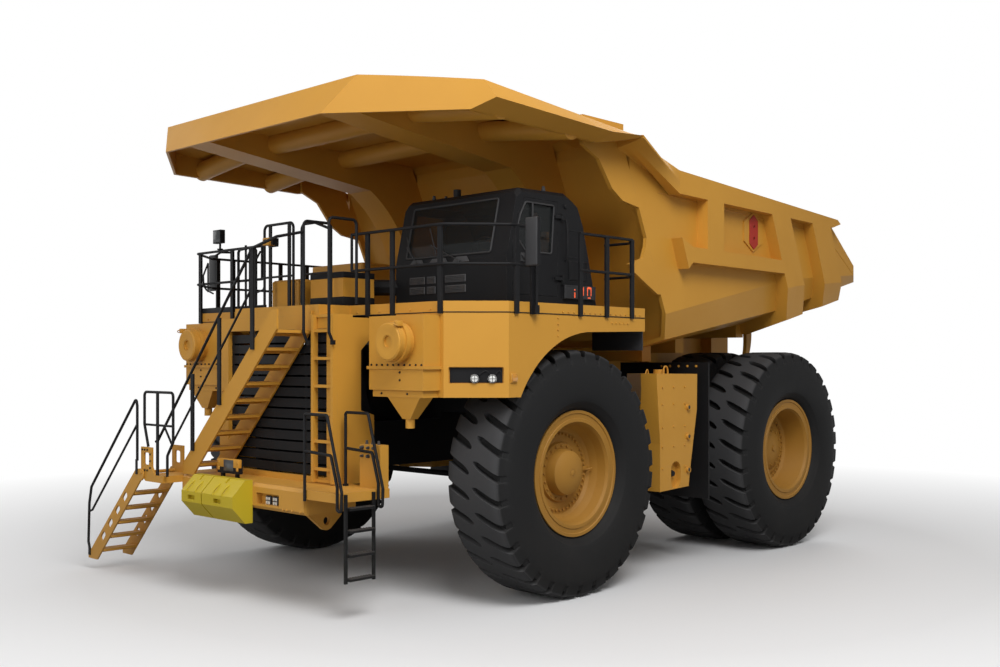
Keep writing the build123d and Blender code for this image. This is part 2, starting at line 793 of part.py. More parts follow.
finish(front_stairs, "front_stairs")

bracket_front = board_front + board_plate + running_gap
bracket_back = board_front + board_width - board_plate - running_gap - bracket_plate
with BuildPart() as stair_landing:
    add_box((-1960, -1470), (bracket_front, -2450), (landing_top_z - 100, landing_top_z))
    add_box(
        (-2060, -1960),
        (bracket_front + 200, bracket_back - 200),
        (landing_top_z - 60, landing_top_z - 20),
    )
    for plate_aft in (bracket_front, bracket_back):
        with BuildSketch(Plane.XZ.offset(-aft(plate_aft))):
            with BuildLine():
                Polyline(
                    (-1700, landing_top_z - 100),
                    (-1960, landing_top_z - 100),
                    (-2090, board_hinge_z - 30),
                    (-2090, 2000),
                    (-1780, 2000),
                    (-1780, landing_top_z + 120),
                    (-1700, landing_top_z),
                    close=True,
                )
            make_face()
            with Locations((-1930, 1830)):
                RectangleRounded(150, 180, 30, mode=Mode.SUBTRACT)
        extrude(amount=-bracket_plate)
    add_cylinder(
        (board_hinge_x, board_front - 10, board_hinge_z),
        (0, 1, 0),
        board_pin_radius,
        board_width + 20,
    )
finish(stair_landing, "stair_landing")

slot_spots = [(board_hinge_x - 480 - step * 227, board_hinge_z - 400 - step * 220) for step in range(4)]
with BuildPart() as boarding_stair:
    for plate_aft in (board_front, board_front + board_width - board_plate):
        with BuildSketch(Plane.XZ.offset(-aft(plate_aft))):
            with BuildLine():
                Polyline(
                    (-2190, 1665),
                    (-3680, 230),
                    (-3680, 170),
                    (-3400, 170),
                    (-2060, 1500),
                )
                ThreePointArc((-2060, 1500), (board_hinge_x + 62, board_hinge_z), (-2060, 1680))
                Line((-2060, 1680), (-2190, 1665))
            make_face()
            with Locations((board_hinge_x, board_hinge_z)):
                Circle(board_pin_radius + pin_clearance, mode=Mode.SUBTRACT)
            with Locations(*slot_spots):
                RectangleRounded(170, 90, 40, rotation=45, mode=Mode.SUBTRACT)
        extrude(amount=-board_plate)
    for step in range(5):
        x = -2240 - step * board_pitch
        z = 1310 - step * board_pitch
        tread_aft = (board_front + board_plate, board_front + board_width - board_plate)
        add_box((x - 200, x), tread_aft, (z - 30, z))
        add_box((x - 200, x - 180), tread_aft, (z - 70, z))
finish(boarding_stair, "boarding_stair")

board_rail_aft = board_front + 5
with BuildPart() as boarding_rail:
    grip = (
        (-3640, 300),
        (-3690, 420),
        (-3660, 1030),
        (-3590, 1290),
        (-2180, 2710),
        (-2150, 2600),
        (-2150, 1790),
    )
    add_tube([(x, board_rail_aft, z) for x, z in grip], 20, 30)
    add_tube(
        [(-3655, board_rail_aft, 900), (-3560, board_rail_aft, 930), (-2150, board_rail_aft, 2330)],
        17,
        30,
    )
    add_box((-3660, -3600), (board_front - 15, board_front), (220, 330))
    add_box((-2175, -2125), (board_front - 15, board_front), (1590, 1810))
finish(boarding_rail, "boarding_rail")

ladder_aft = (guard_front - 80, guard_front)
with BuildPart() as side_ladder:
    for x in (940, 1360):
        add_box((x, x + 50), ladder_aft, (1640, 3890))
    for rung in range(6):
        add_box(
            (990, 1360),
            (ladder_aft[0] + 15, ladder_aft[0] + 55),
            (1800 + rung * 370, 1840 + rung * 370),
        )
    for foot_z in (1640, 3850):
        add_box((940, 1410), (ladder_aft[0] + 50, ladder_aft[1]), (foot_z, foot_z + 40))
finish(side_ladder, "side_ladder")

platform_x = (bumper_half, 2160)
platform_z = (1500, bumper_z[1])
with BuildPart() as service_platform:
    add_box(platform_x, (bumper_front, -2450), platform_z)
    add_box(
        (platform_x[0] + 60, platform_x[1] - 60),
        (bumper_front + 60, -2510),
        (1490, 1590),
        Mode.SUBTRACT,
    )
    add_box((1740, 2150), (-2600, -2460), (bumper_z[1], 2180))
finish(service_platform, "service_platform")

with BuildPart() as egress_ladder:
    for strap_aft in (-3200, -2750):
        add_box((2160, 2190), (strap_aft, strap_aft + 40), (490, platform_z[1] - 20))
    for step_z in (520, 820, 1120, 1400):
        add_box((2130, 2240), (-3160, -2750), (step_z, step_z + 30))
finish(egress_ladder, "egress_ladder")

with BuildPart() as wheel_chocks:
    for x0, x1 in ((-950, -450), (-420, 330)):
        profile = [(-3300, 1660), (-3300, 1080), (-3420, 1080), (-3620, 1300), (-3620, 1450), (-3420, 1660)]
        add_plate(profile, x0, x1 - x0)
        middle = (x0 + x1) / 2
        add_box((middle - 90, middle + 90), (-3700, -3560), (1340, 1400), Mode.SUBTRACT)
        add_box((middle - 25, middle + 25), (-3520, -3340), (1600, 1700), Mode.SUBTRACT)
finish(wheel_chocks, "wheel_chocks")

# ================================================================ tanks and guards
tank_x = (2300, 3200)
with BuildPart() as hydraulic_tank:
    outline = [
        (1970, 3070),
        (3070, 3060),
        (3060, 2500),
        (2870, 1550),
        (2830, 1300),
        (2060, 1270),
        (2060, 2000),
    ]
    add_plate(outline, tank_x[0], tank_x[1] - tank_x[0])
    with BuildSketch(Plane.XY.offset(1000)):
        with BuildLine():
            Polyline((2290, aft(2430)), (2900, aft(1990)), (2900, aft(1850)), (2290, aft(1850)), close=True)
        make_face()
    extrude(amount=2200, mode=Mode.SUBTRACT)
    with BuildSketch(Plane.YZ.offset(tank_x[1])):
        with Locations((aft(2480), 1500)):
            SlotOverall(420, 260, rotation=90)
    extrude(amount=-90, mode=Mode.SUBTRACT)
    for port_z in (2540, 2080, 1560):
        add_cylinder((tank_x[1], 2800, port_z), (1, 0, 0), 48, 30)
    add_cylinder((2800, 2600, 3060), (0, 0, 1), 90, 70)
finish(hydraulic_tank, "hydraulic_tank")

with BuildPart() as fuel_tank:
    add_box((-tank_x[1], -tank_x[0]), (2100, 3300), (1260, 2700))
    rounded = [e for e in fuel_tank.edges() if abs(e.center().X + tank_x[1]) < 1 and e.length > 1000]
    fillet(rounded, radius=120)
    with BuildSketch(Plane.XY.offset(1000)):
        with BuildLine():
            Polyline(
                (-2290, aft(2450)),
                (-2860, aft(2090)),
                (-2860, aft(1900)),
                (-2290, aft(1900)),
                close=True,
            )
        make_face()
    extrude(amount=2200, mode=Mode.SUBTRACT)
    add_cylinder((-2700, 2500, 2700), (0, 0, 1), 70, 60)
finish(fuel_tank, "fuel_tank")

mount_aft = (2450, 2750)
mud_guard_aft = 3300
with BuildPart() as tank_mounts:
    for side, sign in sides:
        for low_z in (1900, 2450):
            add_box((sign * rail_outer_x, sign * tank_x[0]), mount_aft, (low_z, low_z + 180))
        add_box((sign * (tank_x[0] - 60), sign * tank_x[0]), mount_aft, (1700, 2660))
        add_box((sign * 1500, sign * 3260), (mud_guard_aft, mud_guard_aft + 30), (1060, 3240))
        for arm_x in (1600, 2100):
            add_box((sign * arm_x, sign * (arm_x + 100)), (mount_aft[1], mud_guard_aft), (1950, 2030))
finish(tank_mounts, "tank_mounts")

# ================================================================ deck equipment
rail_top = deck_top_z + 970
rail_middle = deck_top_z + 470
rail_foot = deck_top_z - 160
rail_gap_aft = -1110          # rear end of the front rails, clear of the door's swing
rail_aft = deck_front - 34
tube_radius = 20
edge_rail_x = deck_edge_x + 22
post_depth = 34
with BuildPart() as handrails:
    for side, sign in sides:
        for z in (rail_top, rail_middle):
            bar = [(sign * 1070, rail_aft, z), (sign * 2880, rail_aft, z), (sign * edge_rail_x, -1570, z)]
            add_tube(bar + [(sign * edge_rail_x, rail_gap_aft, z)], tube_radius, 90)
        add_tube([(sign * 1070, rail_aft, rail_middle), (sign * 1070, rail_aft, rail_top)], tube_radius, 0)
        for x in (1390, 1900, 2820):
            add_box(
                (sign * x - 35, sign * x + 35),
                (deck_front - post_depth, deck_front),
                (rail_foot, rail_top),
            )
        for post_aft in (-1480, rail_gap_aft - 70):
            add_box(
                (sign * deck_edge_x, sign * (deck_edge_x + 34)),
                (post_aft, post_aft + 70),
                (rail_foot, rail_top),
            )
        for z in (rail_top, rail_middle):
            bar = [(sign * edge_rail_x, -190, z), (sign * edge_rail_x, 1000, z), (sign * 3150, 1340, z)]
            add_tube(bar + [(sign * 2700, 1340, z)], tube_radius, 90)
        for post_aft in (-200, 380, 960):
            add_box(
                (sign * deck_edge_x, sign * (deck_edge_x + 34)),
                (post_aft, post_aft + 70),
                (rail_foot, rail_top),
            )
        add_box((sign * 2700, sign * 2770), (deck_rear, deck_rear + 34), (rail_foot, rail_top))
    for z in (rail_top - 10, rail_middle - 10):
        add_tube([(-edge_rail_x, rail_gap_aft, z + 10), (-edge_rail_x, -190, z + 10)], tube_radius, 0)
    gates = (  # hoop outline in x and z, above the deck
        ((-850, 0), (-850, 1240), (-130, 1240), (-130, 0)),
        ((70, 0), (70, 1190), (380, 1190), (740, 1070), (740, 0)),
    )
    for gate in gates:
        add_tube([(x, -2300, deck_top_z + z) for x, z in gate], tube_radius, 80)
    for x in (-700, -230):
        add_box((x - 30, x + 30), (-2312, -2288), (deck_top_z, deck_top_z + 1240))
    for x0, x1 in ((-850, -130), (70, 740)):
        add_tube([(x0, -2300, rail_middle), (x1, -2300, rail_middle)], 16, 0)
    add_tube([(-1070, rail_aft, rail_top), (-850, -2300, rail_top)], tube_radius, 0)
    add_tube([(-1070, rail_aft, rail_middle), (-850, -2300, rail_middle)], tube_radius, 0)
    for x in (900, 1450):
        hoop = ((-2810, 3500), (-2880, 3640), (-2880, 5150), (-2420, 5150), (-2420, 4030))
        add_tube([(x, y, z) for y, z in hoop], tube_radius, 70)
    for x0, x1 in ((890, 940), (1410, 1460)):
        add_box((x0, x1), (-2830, -2780), (3480, 3540))
    post_aft = stair_front - 14
    for x, low, high in ((-1170, 1970, 3080), (-470, 2650, 3870), (340, 3420, 4790)):
        add_box((x - 35, x + 35), (post_aft - 14, stair_front), (low, high))
    top_bar = ((-2200, 2050), (-2130, 2080), (340, 4790), (900, 4900))
    add_tube([(x, post_aft, z) for x, z in top_bar], tube_radius, 60)
    add_tube([(900, post_aft, 4900), (900, -2880, 5000)], tube_radius, 0)
    add_tube([(-1740, post_aft, 2030), (340, post_aft, 4260)], 16, 0)
    add_tube([(-1740, post_aft, 2030), (-1950, post_aft, 2280)], 16, 0)
    for hoop_aft, foot in ((bumper_front - 20, 1480), (-2660, bumper_z[1])):
        hoop = (
            (1520, foot),
            (1520, 2590),
            (1980, 2590),
            (2275, 1640),
            (2265, 1400),
            (2185, 1420),
            (2185, 1700),
            (2060, 2090),
            (1560, 2118),
        )
        add_tube([(x, hoop_aft, z) for x, z in hoop], tube_radius, 35)
        add_tube([(1560, hoop_aft, 2118), (1520, hoop_aft, 2120)], tube_radius, 0)
    add_box((1495, 1545), (-2690, -2630), (bumper_z[1], bumper_z[1] + 30))
    landing_aft = bracket_front + bracket_plate + 1
    bar = (
        (-1930, 2006.5),
        (-2040, 2330),
        (-2040, 2810),
        (-1230, 2810),
        (-1230, 2100),
        (-1390, 1900),
        (-1390, landing_top_z),
    )
    add_tube([(x, landing_aft, z) for x, z in bar], tube_radius, 60)
    add_tube([(-2040, landing_aft, 2330), (-1230, landing_aft, 2330)], 17, 0)
    add_box((-1690, -1640), (landing_aft - 12, landing_aft + 12), (landing_top_z, 2810))
finish(handrails, "handrails")

with BuildPart() as deck_boxes:
    for x0, x1, a0, a1, height in (
        (-820, -160, -2180, -1500, 430),
        (120, 860, -2180, -1620, 470),
        (-2900, -1500, 100, 900, 900),
        (-1300, -1020, -600, 900, 600),
    ):
        add_box((x0, x1), (a0, a1), (deck_top_z, deck_top_z + height))
    tops = [e for e in deck_boxes.edges() if e.center().Z > deck_top_z + 400]
    chamfer(tops, length=25)
finish(deck_boxes, "deck_boxes")

with BuildPart() as mirrors_lamps:
    for side, sign in sides:
        post = [
            (sign * 3512, rail_gap_aft - 5, rail_foot),
            (sign * 3512, rail_gap_aft - 5, rail_top + 140),
            (sign * 3640, rail_gap_aft - 175, rail_top + 140),
        ]
        add_tube(post + [(sign * 3700, -1385, rail_top + 60)], 18, 50)
        add_box((sign * 3590, sign * 3800), (-1415, -1365), (rail_middle - 20, rail_top + 80))
        base = (rail_gap_aft - 45, rail_gap_aft + 35)
        add_box((sign * 3484, sign * 3530), base, (rail_foot, rail_foot + 120))
    add_box((-2260, -2180), (rail_aft - 30, rail_aft + 30), (rail_top + tube_radius, rail_top + 40))
    add_box((-2236, -2204), (rail_aft - 10, rail_aft + 10), (rail_top + 40, rail_top + 130))
    add_box((-2330, -2110), (rail_aft - 60, rail_aft + 20), (rail_top + 120, rail_top + 330))
    add_box((-640, -460), (-2430, -2322), (rail_top - 40, rail_top + 60))
    add_box((-720, -480), (-2324, -2312), (rail_top - 60, rail_top + 60))
    add_box((-770, -240), (-3150, -3080), (bumper_z[1] + 60, 1880))
    for x in (-700, -340):
        add_box((x, x + 40), (-3140, -3090), (bumper_z[1], bumper_z[1] + 60))
    add_cylinder((1770, -850, cab_base_z + 1553.8), (0, 0, 1), 55, 110)
finish(mirrors_lamps, "mirrors_lamps")

# ================================================================ dump body
body_top_z = body_pivot_z + 3600
tail_aft = wheelbase + 3395
# rows: aft, crease z, floor half width, floor z
body_sections = (
    (1200, wheel_top_z + 380, 2400, wheel_top_z - 170),
    (wheelbase - 20, wheel_top_z + 1280, 2400, wheel_top_z + 530),
    (tail_aft, wheel_top_z + 1570, 2700, wheel_top_z + 1510),
)
belly_reach = 0.84            # share of the lower side's width and height at its knuckle
belly_rise = 0.30
cut_foot = (2626, 2800)       # front edge of the side plates
cut_head = (1050, 6400)
wall_foot = (2530, 3300)      # front face of the front wall
wall_head = (1100, 6560)
wall_thickness = 80
roof_sheet = 40
roof_front = (-3080, 6830)    # top of the canopy's middle panel at its nose
roof_back = (1100, 6660)
roof_half = 2280


def floor_z(aft_y):
    """Height of the body's underside this far behind the front axle."""
    for front, back in zip(body_sections, body_sections[1:]):
        if aft_y <= back[0]:
            break
    share = (aft_y - front[0]) / (back[0] - front[0])
    return front[3] + share * (back[3] - front[3])


def wall_aft(z):
    """Where the front face of the front wall is at a height."""
    return wall_head[0] + (wall_head[1] - z) * (wall_foot[0] - wall_head[0]) / (wall_head[1] - wall_foot[1])


def roof_z(aft_y):
    """Top of the canopy's middle panel this far behind the front axle."""
    share = (aft_y - roof_front[0]) / (roof_back[0] - roof_front[0])
    return roof_front[1] + share * (roof_back[1] - roof_front[1])


def body_section(row, outward):
    """Closed cross-section of the body at one row, each face moved outward."""
    aft_y, crease, floor_half, floor = row
    side_x = body_side_x + outward
    floor_x = floor_half + 0.4 * outward
    floor_low = floor - outward
    crease_z = crease - 0.6 * outward
    belly_x = floor_x + belly_reach * (side_x - floor_x)
    belly_z = floor_low + belly_rise * (crease_z - floor_low)
    top = body_top_z if outward >= 0 else body_top_z + 200
    half = [(side_x, top), (side_x, crease_z), (belly_x, belly_z), (floor_x, floor_low)]
    with BuildSketch(Plane.XZ.offset(-aft(aft_y)), mode=Mode.PRIVATE) as section:
        with BuildLine():
            Polyline(*half, *[(-x, z) for x, z in reversed(half)], close=True)
        make_face()
    return section.sketch


def body_loft(outward):
    """The body's outer form, each face moved outward, as one closed solid."""
    with BuildPart() as form:
        loft(sections=[body_section(row, outward) for row in body_sections], ruled=True)
    return form.part


side_top = [
    (600, 6560),
    (1050, 6440),
    (2200, 6150),
    (7300, 5870),
    (8400, 5060),
    (9400, 5010),
    (9400, 7000),
    (600, 7000),
]
with BuildPart() as body_shell:
    add(body_loft(0))
    add(body_loft(-body_wall), mode=Mode.SUBTRACT)
    ahead = [(-500, cut_foot[1]), cut_foot, cut_head, (cut_head[0], 7000), (-500, 7000)]
    add_plate(ahead, -4000, 8000, Mode.SUBTRACT)
    add_plate(side_top, -4000, 8000, Mode.SUBTRACT)
    for side, sign in sides:
        with BuildSketch(Plane.XY.offset(4000)):
            with BuildLine():
                Polyline(
                    (sign * 3500, aft(8350)),
                    (sign * body_side_x, aft(8350)),
                    (sign * 2850, aft(tail_aft)),
                    (sign * 2850, aft(tail_aft + 100)),
                    (sign * 3500, aft(tail_aft + 100)),
                    close=True,
                )
            make_face()
        extrude(amount=2500, mode=Mode.SUBTRACT)
finish(body_shell, "body_shell")

with BuildPart() as body_front_wall:
    low = wall_foot[1]
    wall = [
        (wall_foot[0], low),
        (wall_foot[0] + wall_thickness, low),
        (wall_head[0] + wall_thickness, 6560),
        wall_head,
    ]
    add_plate(wall, -3210, 6420)
    add(body_loft(-body_wall), mode=Mode.INTERSECT)
    add_plate([(500, 6560), (3000, 6560), (3000, 7200), (500, 7200)], -4000, 8000, Mode.SUBTRACT)
finish(body_front_wall, "body_front_wall")

corner_run = (0.834, 0.552)   # plan direction of each corner plate
nose_corner = (1870, -3340)
nose_foot_z = 6370
# rows: aft, then (x, z) of the roof's fold, its edge, the rim and the rim's foot
canopy_rows = (
    (-3400, (roof_half, roof_z(-3400)), (3610, 6790), (canopy_x, 6526), (3474, 6366)),
    (200, (roof_half, roof_z(200)), (3610, 6522), (canopy_x, 6400), (3474, 6290)),
    (900, (roof_half, roof_z(900)), (3610, 6470), (canopy_x, 6450), (3690, 6425)),
)
brim_inner_x = 3400
wing_front = [(3270.3, 6330), (3300, 6340), (3740, 6420), (3740, 6460), (3270.3, 6500)]
wing_back = [(3270.3, 5800), (3470, 5800), (3470, 5830), (3470, 6150), (3270.3, 6150)]


def cross_section(points, aft_y):
    """Closed outline of (x, z) points in a plane across the truck."""
    with BuildSketch(Plane.XZ.offset(-aft(aft_y)), mode=Mode.PRIVATE) as section:
        with BuildLine():
            Polyline(*points, close=True)
        make_face()
    return section.sketch


def both_sides(half):
    """A left-hand outline followed by its mirror image."""
    return half + [(-x, z) for x, z in reversed(half)]


def canopy_outer(row):
    """Outer cross-section of the canopy at one row."""
    return cross_section(both_sides(list(row[1:])), row[0])


def canopy_inner(row):
    """Hollow under the roof at one row, inside the brims."""
    (fold_x, fold_z), (edge_x, edge_z) = row[1], row[2]
    inner_z = fold_z + (brim_inner_x - fold_x) * (edge_z - fold_z) / (edge_x - fold_x)
    half = [(fold_x, fold_z - roof_sheet), (brim_inner_x, inner_z - roof_sheet), (brim_inner_x, 6000)]
    return cross_section(both_sides(half), row[0])


def canopy_nose(depth):
    """Everything ahead of the fascia and corner plates, moved rearward by a depth."""
    with BuildPart() as ahead:
        foot = nose_corner[1] + 1.15 * depth
        head = roof_front[0] + 1.15 * depth
        rise = (head - foot) / (roof_front[1] - nose_foot_z)
        slant = [(foot - 300 * rise, nose_foot_z - 300), (head + 300 * rise, roof_front[1] + 300)]
        add_plate(slant + [(-5000, roof_front[1] + 300), (-5000, nose_foot_z - 300)], -4000, 8000)
        for side, sign in sides:
            start = (nose_corner[0] - 1000 * corner_run[0], foot - 1000 * corner_run[1])
            end = (nose_corner[0] + 3500 * corner_run[0], foot + 3500 * corner_run[1])
            with BuildSketch(Plane.XY.offset(6000)):
                with BuildLine():
                    Polyline(
                        (sign * start[0], aft(start[1])),
                        (sign * end[0], aft(end[1])),
                        (sign * end[0], aft(-5000)),
                        (sign * start[0], aft(-5000)),
                        close=True,
                    )
                make_face()
            extrude(amount=1500)
    return ahead.part


with BuildPart() as canopy_hollow:
    for front, back in zip(canopy_rows, canopy_rows[1:]):
        loft(sections=[canopy_inner(front), canopy_inner(back)], ruled=True)
    add(canopy_nose(roof_sheet), mode=Mode.SUBTRACT)

with BuildPart() as canopy:
    for front, back in zip(canopy_rows, canopy_rows[1:]):
        loft(sections=[canopy_outer(front), canopy_outer(back)], ruled=True)
    add(canopy_nose(0), mode=Mode.SUBTRACT)
    add(canopy_hollow.part, mode=Mode.SUBTRACT)
    add_plate(
        [
            (880, roof_z(880)),
            roof_back,
            (roof_back[0], roof_back[1] - roof_sheet),
            (880, roof_z(880) - roof_sheet),
        ],
        -roof_half,
        2 * roof_half,
    )
    for side, sign in sides:
        wing = []
        for outline, wing_aft in ((wing_front, 900 + seat_gap), (wing_back, 2190)):
            wing.append(cross_section([(sign * x, z) for x, z in outline], wing_aft))
        loft(sections=wing, ruled=True)
finish(canopy, "canopy")

beam_x = (1333, 1876)
channel_radius = 130
with BuildPart() as canopy_beams:
    for side, sign in sides:
        start_x = beam_x[0] if sign > 0 else -beam_x[1]
        with BuildSketch(Plane.YZ.offset(start_x)):
            with BuildLine():
                Polyline(
                    (aft(140), 6125),
                    (aft(-1920), 6375),
                    (aft(-2950), 6500),
                    (aft(-2950), roof_z(-2950) - roof_sheet),
                    (aft(roof_back[0]), roof_back[1] - roof_sheet),
                    (aft(roof_back[0]), 6560),
                    (aft(wall_aft(3600)), 3600),
                    (aft(wall_aft(3600) - 230), 3600),
                    (aft(980), 5100),
                )
                ThreePointArc((aft(980), 5100), (aft(630), 5690), (aft(140), 6125))
            make_face()
        extrude(amount=beam_x[1] - beam_x[0])
        wing_plate = [(120, 6290), (480, 6130), (790, 5740), (1040, 5590)]
        cut_run = (cut_foot[0] - cut_head[0]) / (cut_head[1] - cut_foot[1])
        lower_edge = cut_head[0] + (cut_head[1] - 5530) * cut_run
        wing_plate += [(lower_edge, 5530), cut_head, (cut_head[0], 6700), (120, 6700)]
        add_plate(wing_plate, sign * 3240 - 30, 60)
        flare = [(1900, 4270), (1330, 4560), (1190, 4680), (1530, 4790), (1600, 4960)]
        flare += [(cut_head[0] + (cut_head[1] - z) * cut_run, z) for z in (5100, 4270)]
        add_plate(flare, sign * 3240 - 30, 60)
        bay_start = beam_x[1] - 20
        bay_run = 3500 - bay_start
        bay_fall = bay_run * (6750 - 6590) / (3610 - roof_half)
        slope = math.hypot(bay_run, bay_fall)
        for channel_aft in (-1750, -380):
            top_z = roof_z(channel_aft) - roof_sheet / 2
            tilted = Plane(
                origin=(sign * bay_start, aft(channel_aft), top_z),
                x_dir=(0, 1, 0),
                z_dir=(sign * bay_run / slope, 0, -bay_fall / slope),
            )
            with BuildSketch(tilted):
                with BuildLine():
                    Line((-channel_radius, 0), (channel_radius, 0))
                    ThreePointArc(
                        (channel_radius, 0),
                        (0, -sign * 2 * channel_radius),
                        (-channel_radius, 0),
                    )
                make_face()
            extrude(amount=slope)
    for channel_aft in (-1750, -380):
        with BuildSketch(Plane.YZ.offset(-beam_x[0])):
            with BuildLine():
                low = roof_z(channel_aft) - roof_sheet
                Line((aft(channel_aft - channel_radius), low), (aft(channel_aft + channel_radius), low))
                ThreePointArc(
                    (aft(channel_aft + channel_radius), low),
                    (aft(channel_aft), low - 2 * channel_radius),
                    (aft(channel_aft - channel_radius), low),
                )
            make_face()
        extrude(amount=2 * beam_x[0])
    add(canopy.part, mode=Mode.SUBTRACT)
    above = [(-3400, 7400)] + [(y, roof_z(y) - roof_sheet / 2) for y in (-3400, 1100)] + [(1100, 7400)]
    add_plate(above, -roof_half, 2 * roof_half, Mode.SUBTRACT)
    add(body_shell.part, mode=Mode.SUBTRACT)
    add(body_front_wall.part, mode=Mode.SUBTRACT)
finish(canopy_beams, "canopy_beams")

rib_depth = body_rail_x - body_side_x
ribs = (  # top aft, width, lean rearward per metre of fall
    (4920, 620, 430),
    (6320, 680, 430),
)
rib_foot_z = 3600
rail_head = [(2050, 6160), (2220, 6150), (7300, 5870), (7420, 5800), (7110, 5710), (2190, 5800)]
brace = [(2260, 5140), (2560, 5020), (5540, 4990), (5540, 4770), (2560, 4780), (2440, 4680)]
for side, sign in sides:
    with BuildPart() as body_ribs:
        for rib_aft, rib_width, lean in ribs:
            shift = lean * (5780 - rib_foot_z) / 1000
            outline = [
                (rib_aft, 5780),
                (rib_aft + rib_width, 5780),
                (rib_aft + rib_width + shift, rib_foot_z),
            ]
            outline.append((rib_aft + shift, rib_foot_z))
            start_x = 2350 if sign > 0 else -3600
            add_plate(outline, start_x, 1250)
        add(body_loft(rib_depth), mode=Mode.INTERSECT)
        start_x = body_side_x if sign > 0 else -body_rail_x
        add_plate(rail_head, start_x, rib_depth)
        add_plate(brace, start_x, rib_depth)
        add_plate([(2960, 5800), (3430, 5800), (3430, 4990), (2960, 4990)], start_x, rib_depth)
        plate_x = sign * (body_side_x + 20)
        with BuildSketch(Plane.YZ.offset(min(sign * body_side_x, plate_x))):
            with Locations((aft(4620), 5430)):
                RegularPolygon(radius=330, side_count=6, rotation=30)
                with Locations((0, 120), (0, -120)):
                    Circle(60, mode=Mode.SUBTRACT)
        extrude(amount=20)
        add(body_loft(0), mode=Mode.SUBTRACT)
        add(canopy.part, mode=Mode.SUBTRACT)
    finish(body_ribs, f"body_ribs_{side}")

body_rail_width = 200
hanger_x = rail_outer_x + 120
hanger_half = 100
hanger_drop = 180
ear_offset = 120
ear_plate = 36
ear_foot_z = floor_z(hoist_eye_aft) - 50
with BuildPart() as body_frame:
    for side, sign in sides:
        runner = [
            (2750, rail_rear_top_z + 5),
            (body_pivot_aft - 100, rail_rear_top_z + 5),
            (body_pivot_aft + 550, rail_rear_top_z + 605),
            (body_pivot_aft + 550, floor_z(body_pivot_aft + 550)),
            (body_sections[1][0], body_sections[1][3]),
            (2750, floor_z(2750)),
        ]
        add_plate(runner, sign * rail_x - body_rail_width / 2, body_rail_width)
        hanger = [
            (body_pivot_aft - 350, 4200),
            (body_pivot_aft - hanger_drop, body_pivot_z - 60),
            (body_pivot_aft - 60, body_pivot_z - hanger_drop),
            (body_pivot_aft + 60, body_pivot_z - hanger_drop),
            (body_pivot_aft + hanger_drop, body_pivot_z - 60),
            (body_pivot_aft + 350, 4200),
        ]
        add_plate(hanger, sign * hanger_x - hanger_half, 2 * hanger_half)
        bore_start = (sign * hanger_x - hanger_half - 10, body_pivot_aft, body_pivot_z)
        bore = body_pivot_radius + pin_clearance
        add_cylinder(bore_start, (1, 0, 0), bore, 2 * hanger_half + 20, Mode.SUBTRACT)
        for ear_x in (hoist_x - ear_offset, hoist_x + ear_offset):
            ear = [
                (hoist_eye_aft - 300, ear_foot_z),
                (hoist_eye_aft - 100, hoist_eye_z - 100),
                (hoist_eye_aft + 100, hoist_eye_z - 100),
                (hoist_eye_aft + 300, ear_foot_z),
            ]
            add_plate(ear, sign * ear_x - ear_plate / 2, ear_plate)
    ear_edge = hoist_x + ear_offset + ear_plate / 2
    add_box(
        (-ear_edge, ear_edge),
        (hoist_eye_aft - 200, hoist_eye_aft + 200),
        (ear_foot_z - 140, ear_foot_z + 5),
    )
    add_box((-1030, 1030), (body_pivot_aft - 300, body_pivot_aft + 300), (3300, 4150))
    for cross_aft in (2760, 3700, 5600):
        low = floor_z(cross_aft) - 230
        outline = [(cross_aft, low), (cross_aft + 240, low), (cross_aft + 240, 5000), (cross_aft, 5000)]
        add_plate(outline, -2350, 4700)
    add(body_loft(0), mode=Mode.SUBTRACT)
    for side, sign in sides:
        add_box((sign * 2350, sign * 3600), (2000, 8000), (3000, 5500), Mode.SUBTRACT)
finish(body_frame, "body_frame")

ejector_x = 2290
ejector_thickness = 70
ejector_foot_z = rail_rear_top_z + 160
with BuildPart() as rock_ejectors:
    for side, sign in sides:
        with BuildSketch(Plane.YZ.offset(sign * ejector_x - ejector_thickness / 2)):
            with BuildLine():
                Line((aft(6030), ejector_foot_z), (aft(5930), ejector_foot_z))
                ThreePointArc(
                    (aft(5930), ejector_foot_z),
                    (aft(6010), ejector_foot_z + 420),
                    (aft(5830), 4200),
                )
                Line((aft(5830), 4200), (aft(6080), 4200))
                ThreePointArc(
                    (aft(6080), 4200),
                    (aft(6170), ejector_foot_z + 350),
                    (aft(6030), ejector_foot_z),
                )
            make_face()
        extrude(amount=ejector_thickness)
    add(body_loft(0), mode=Mode.SUBTRACT)
finish(rock_ejectors, "rock_ejectors")

